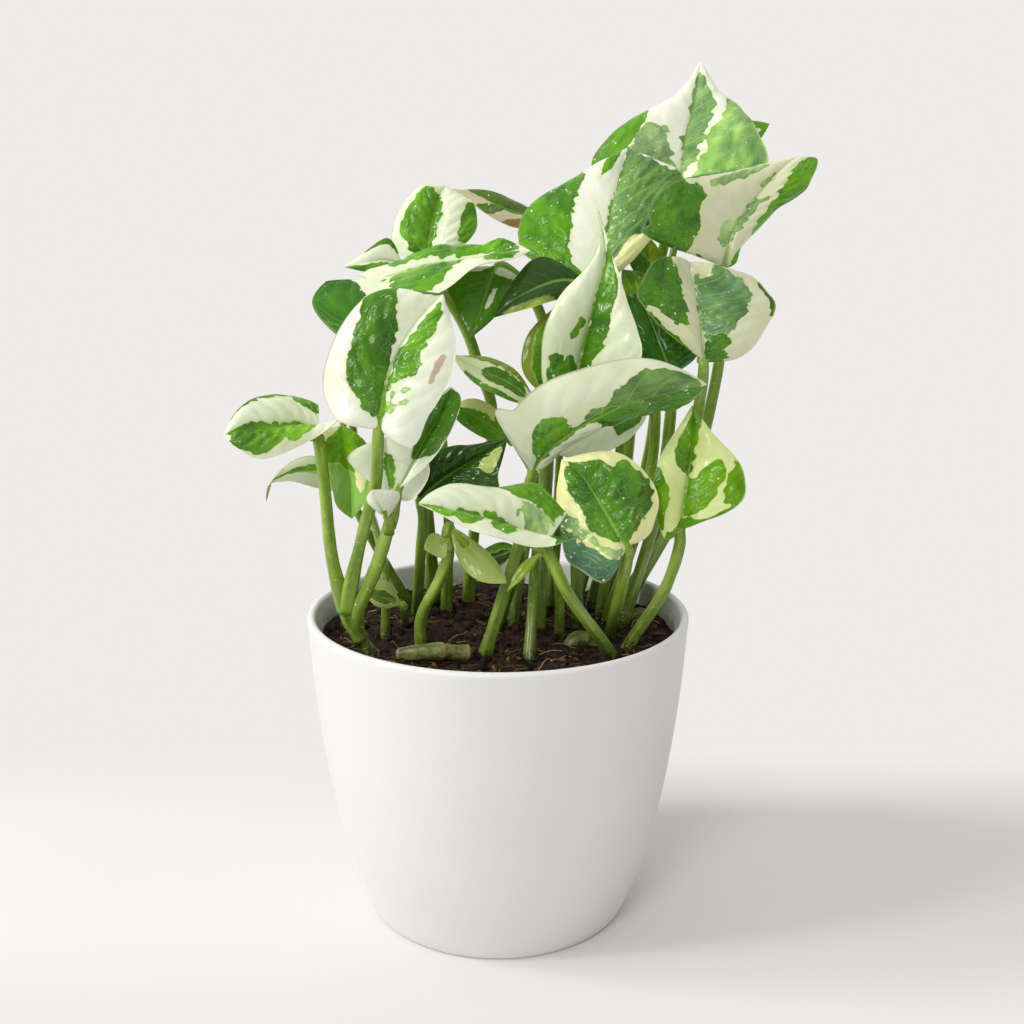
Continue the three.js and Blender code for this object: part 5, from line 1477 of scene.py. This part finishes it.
def make_soil(material):
    rng = np.random.default_rng(SOIL_SEED)
    mesh = Mesh()
    add_bed(mesh)
    add_crumbs(mesh, rng)
    add_chips(mesh, rng)
    add_fibres(mesh, rng)
    mesh.build("soil", [material], "soil")


def make_lying_stems(material):
    for seed, (node, radius, line) in enumerate(LYING_STEMS):
        path, _ = evenly(catmull(line, 12), 0.5)
        mesh = Mesh()
        add_tube(mesh, path, radius, 0, sides=28, shape=old_stem_shape(seed), seed=seed)
        part, turn, _ = mesh.values["place"][0][1].T
        rings = step(0.035, 0.01, np.abs(beyond_joint(part, turn)))
        rings += 0.8 * step(0.04, 0.02, np.abs(part - CUT_END))
        cut = 0.7 * step(0.05, 0.02, part)
        mesh.values["joint"] = [(0, per_point(np.maximum(rings, cut), mesh.count))]
        mesh.build(node, [material], "old_stem")


def make_plant(leaf_look, stalk_look):
    """Every leaf in its node's piece, then the shoots."""
    pieces = {leaf["node"]: Mesh() for leaf in LEAVES}
    for seed, leaf in enumerate(LEAVES, 1):
        Blade(leaf, seed).add_to(pieces[leaf["node"]])
        add_stalk(pieces[leaf["node"]], leaf, seed)
    for seed, (node, radius, rooted, line) in enumerate(SHOOTS, 90):
        path, _ = evenly(catmull([*line, root_end(line)] if rooted else line, 10), 2)
        add_tube(pieces[node], path, radius, 1, shape=stalk_shape(seed), seed=seed)
    for node, mesh in pieces.items():
        mesh.build(node, [leaf_look, stalk_look], "plant")


# Camera, stage and lights


def make_camera():
    data = bpy.data.cameras.new("camera")
    data.sensor_width = SENSOR_WIDTH
    data.lens = SENSOR_WIDTH * FOCAL_PIXELS / IMAGE
    data.shift_x = (IMAGE / 2 - MIDDLE_PIXEL) / IMAGE
    data.clip_start = 0.01
    camera = add_object("camera", data)
    tilt = math.radians(TILT)
    camera.location = (0, -DISTANCE * math.cos(tilt), LOOK_HEIGHT + DISTANCE * math.sin(tilt))
    camera.rotation_euler = (math.pi / 2 - tilt, 0, 0)
    bpy.context.scene.camera = camera


# The stage, in metres: a floor, its edges and its bend up into a backdrop
STAGE_DROP = 0.0003
STAGE_FRONT = -3
STAGE_DEPTH = 1.6
STAGE_BEND = 0.8
STAGE_HALF_WIDTH = 4
STAGE_HEIGHT = 4
# Round this place behind the pot the floor takes shadows; farther off it glows.
SHADOW_BACK = 0.012
SHADOW_REACH = (0.045, 0.12)
SHADOW_NARROW = 0.15


def make_stage():
    """A floor that turns up into a backdrop; far from the part it glows evenly."""
    m = Material("pale_sweep")
    x, y, z = m.split(m.place())
    aside, back = x * SHADOW_NARROW, y - SHADOW_BACK
    glow = m.ramp(m.math("SQRT", aside * aside + (back * back + z * z)), *SHADOW_REACH)
    material = m.finish(Base_Color=m.mix(glow, "stage", "black"), Roughness=0.9, Specular_IOR_Level=0,
                        Emission_Color="stage glow", Emission_Strength=glow)
    line = [(STAGE_FRONT, -STAGE_DROP), (-1, -STAGE_DROP), (0, -STAGE_DROP)]
    line += [(STAGE_DEPTH + STAGE_BEND * math.sin(a), STAGE_BEND * (1 - math.cos(a)))
             for a in np.linspace(0, math.pi / 2, 13)]
    line += [(STAGE_DEPTH + STAGE_BEND, STAGE_HEIGHT)]
    points = [(x, y, z) for y, z in line for x in (-STAGE_HALF_WIDTH, STAGE_HALF_WIDTH)]
    faces = [(2 * k, 2 * k + 1, 2 * k + 3, 2 * k + 2) for k in range(len(line) - 1)]
    stage = add_surface("sweep", points, faces, [material])


def make_sky():
    """Soft light all round: more from above, from the left and from the front."""
    world = bpy.data.worlds.new("studio")
    world.use_nodes = True
    bpy.context.scene.world = world
    m = Nodes(world.node_tree)
    x, y, z = m.split(m.out("TexCoord", output="Generated"))
    light = m.ramp(z, -0.2, 0.9, 0, 0.5) + m.ramp(x, 0.6, -0.9, 0.11, 0.22) + m.ramp(y, 0.5, -0.9, 0, 0.07)
    sky = m.tree.nodes["Background"]
    m.put(sky.inputs["Color"], "sky")
    m.put(sky.inputs["Strength"], light)


# Each light's place, what it shines at (m), its size (m) and its power (W)
LIGHTS = {
    "window_left": ((-1.25, -0.02, 0.95), (0, 0, 0.15), (0.2, 0.5), 6.5),
    "window_right": ((-1.15, -0.45, 0.95), (0, 0, 0.15), (0.2, 0.5), 6.5),
    "front": ((-0.45, -1.2, 1.05), (0, 0, 0.2), (0.4, 0.6), 6.2),
}


def make_lights():
    for name, (place, aim, size, power) in LIGHTS.items():
        data = bpy.data.lights.new(name, "AREA")
        data.shape = "RECTANGLE"
        data.size, data.size_y = size
        data.energy = power
        light = add_object(name, data)
        light.location = place
        x, y, z = np.subtract(aim, place)
        light.rotation_euler = (math.atan2(math.hypot(x, y), -z), 0, math.atan2(y, x) - math.pi / 2)


bpy.context.scene.view_settings.view_transform = "Standard"
make_camera()
make_stage()
make_sky()
make_lights()
make_pot(pot_material())
make_soil(soil_material())
make_lying_stems(old_stem_material())
make_plant(leaf_material(), stalk_material())
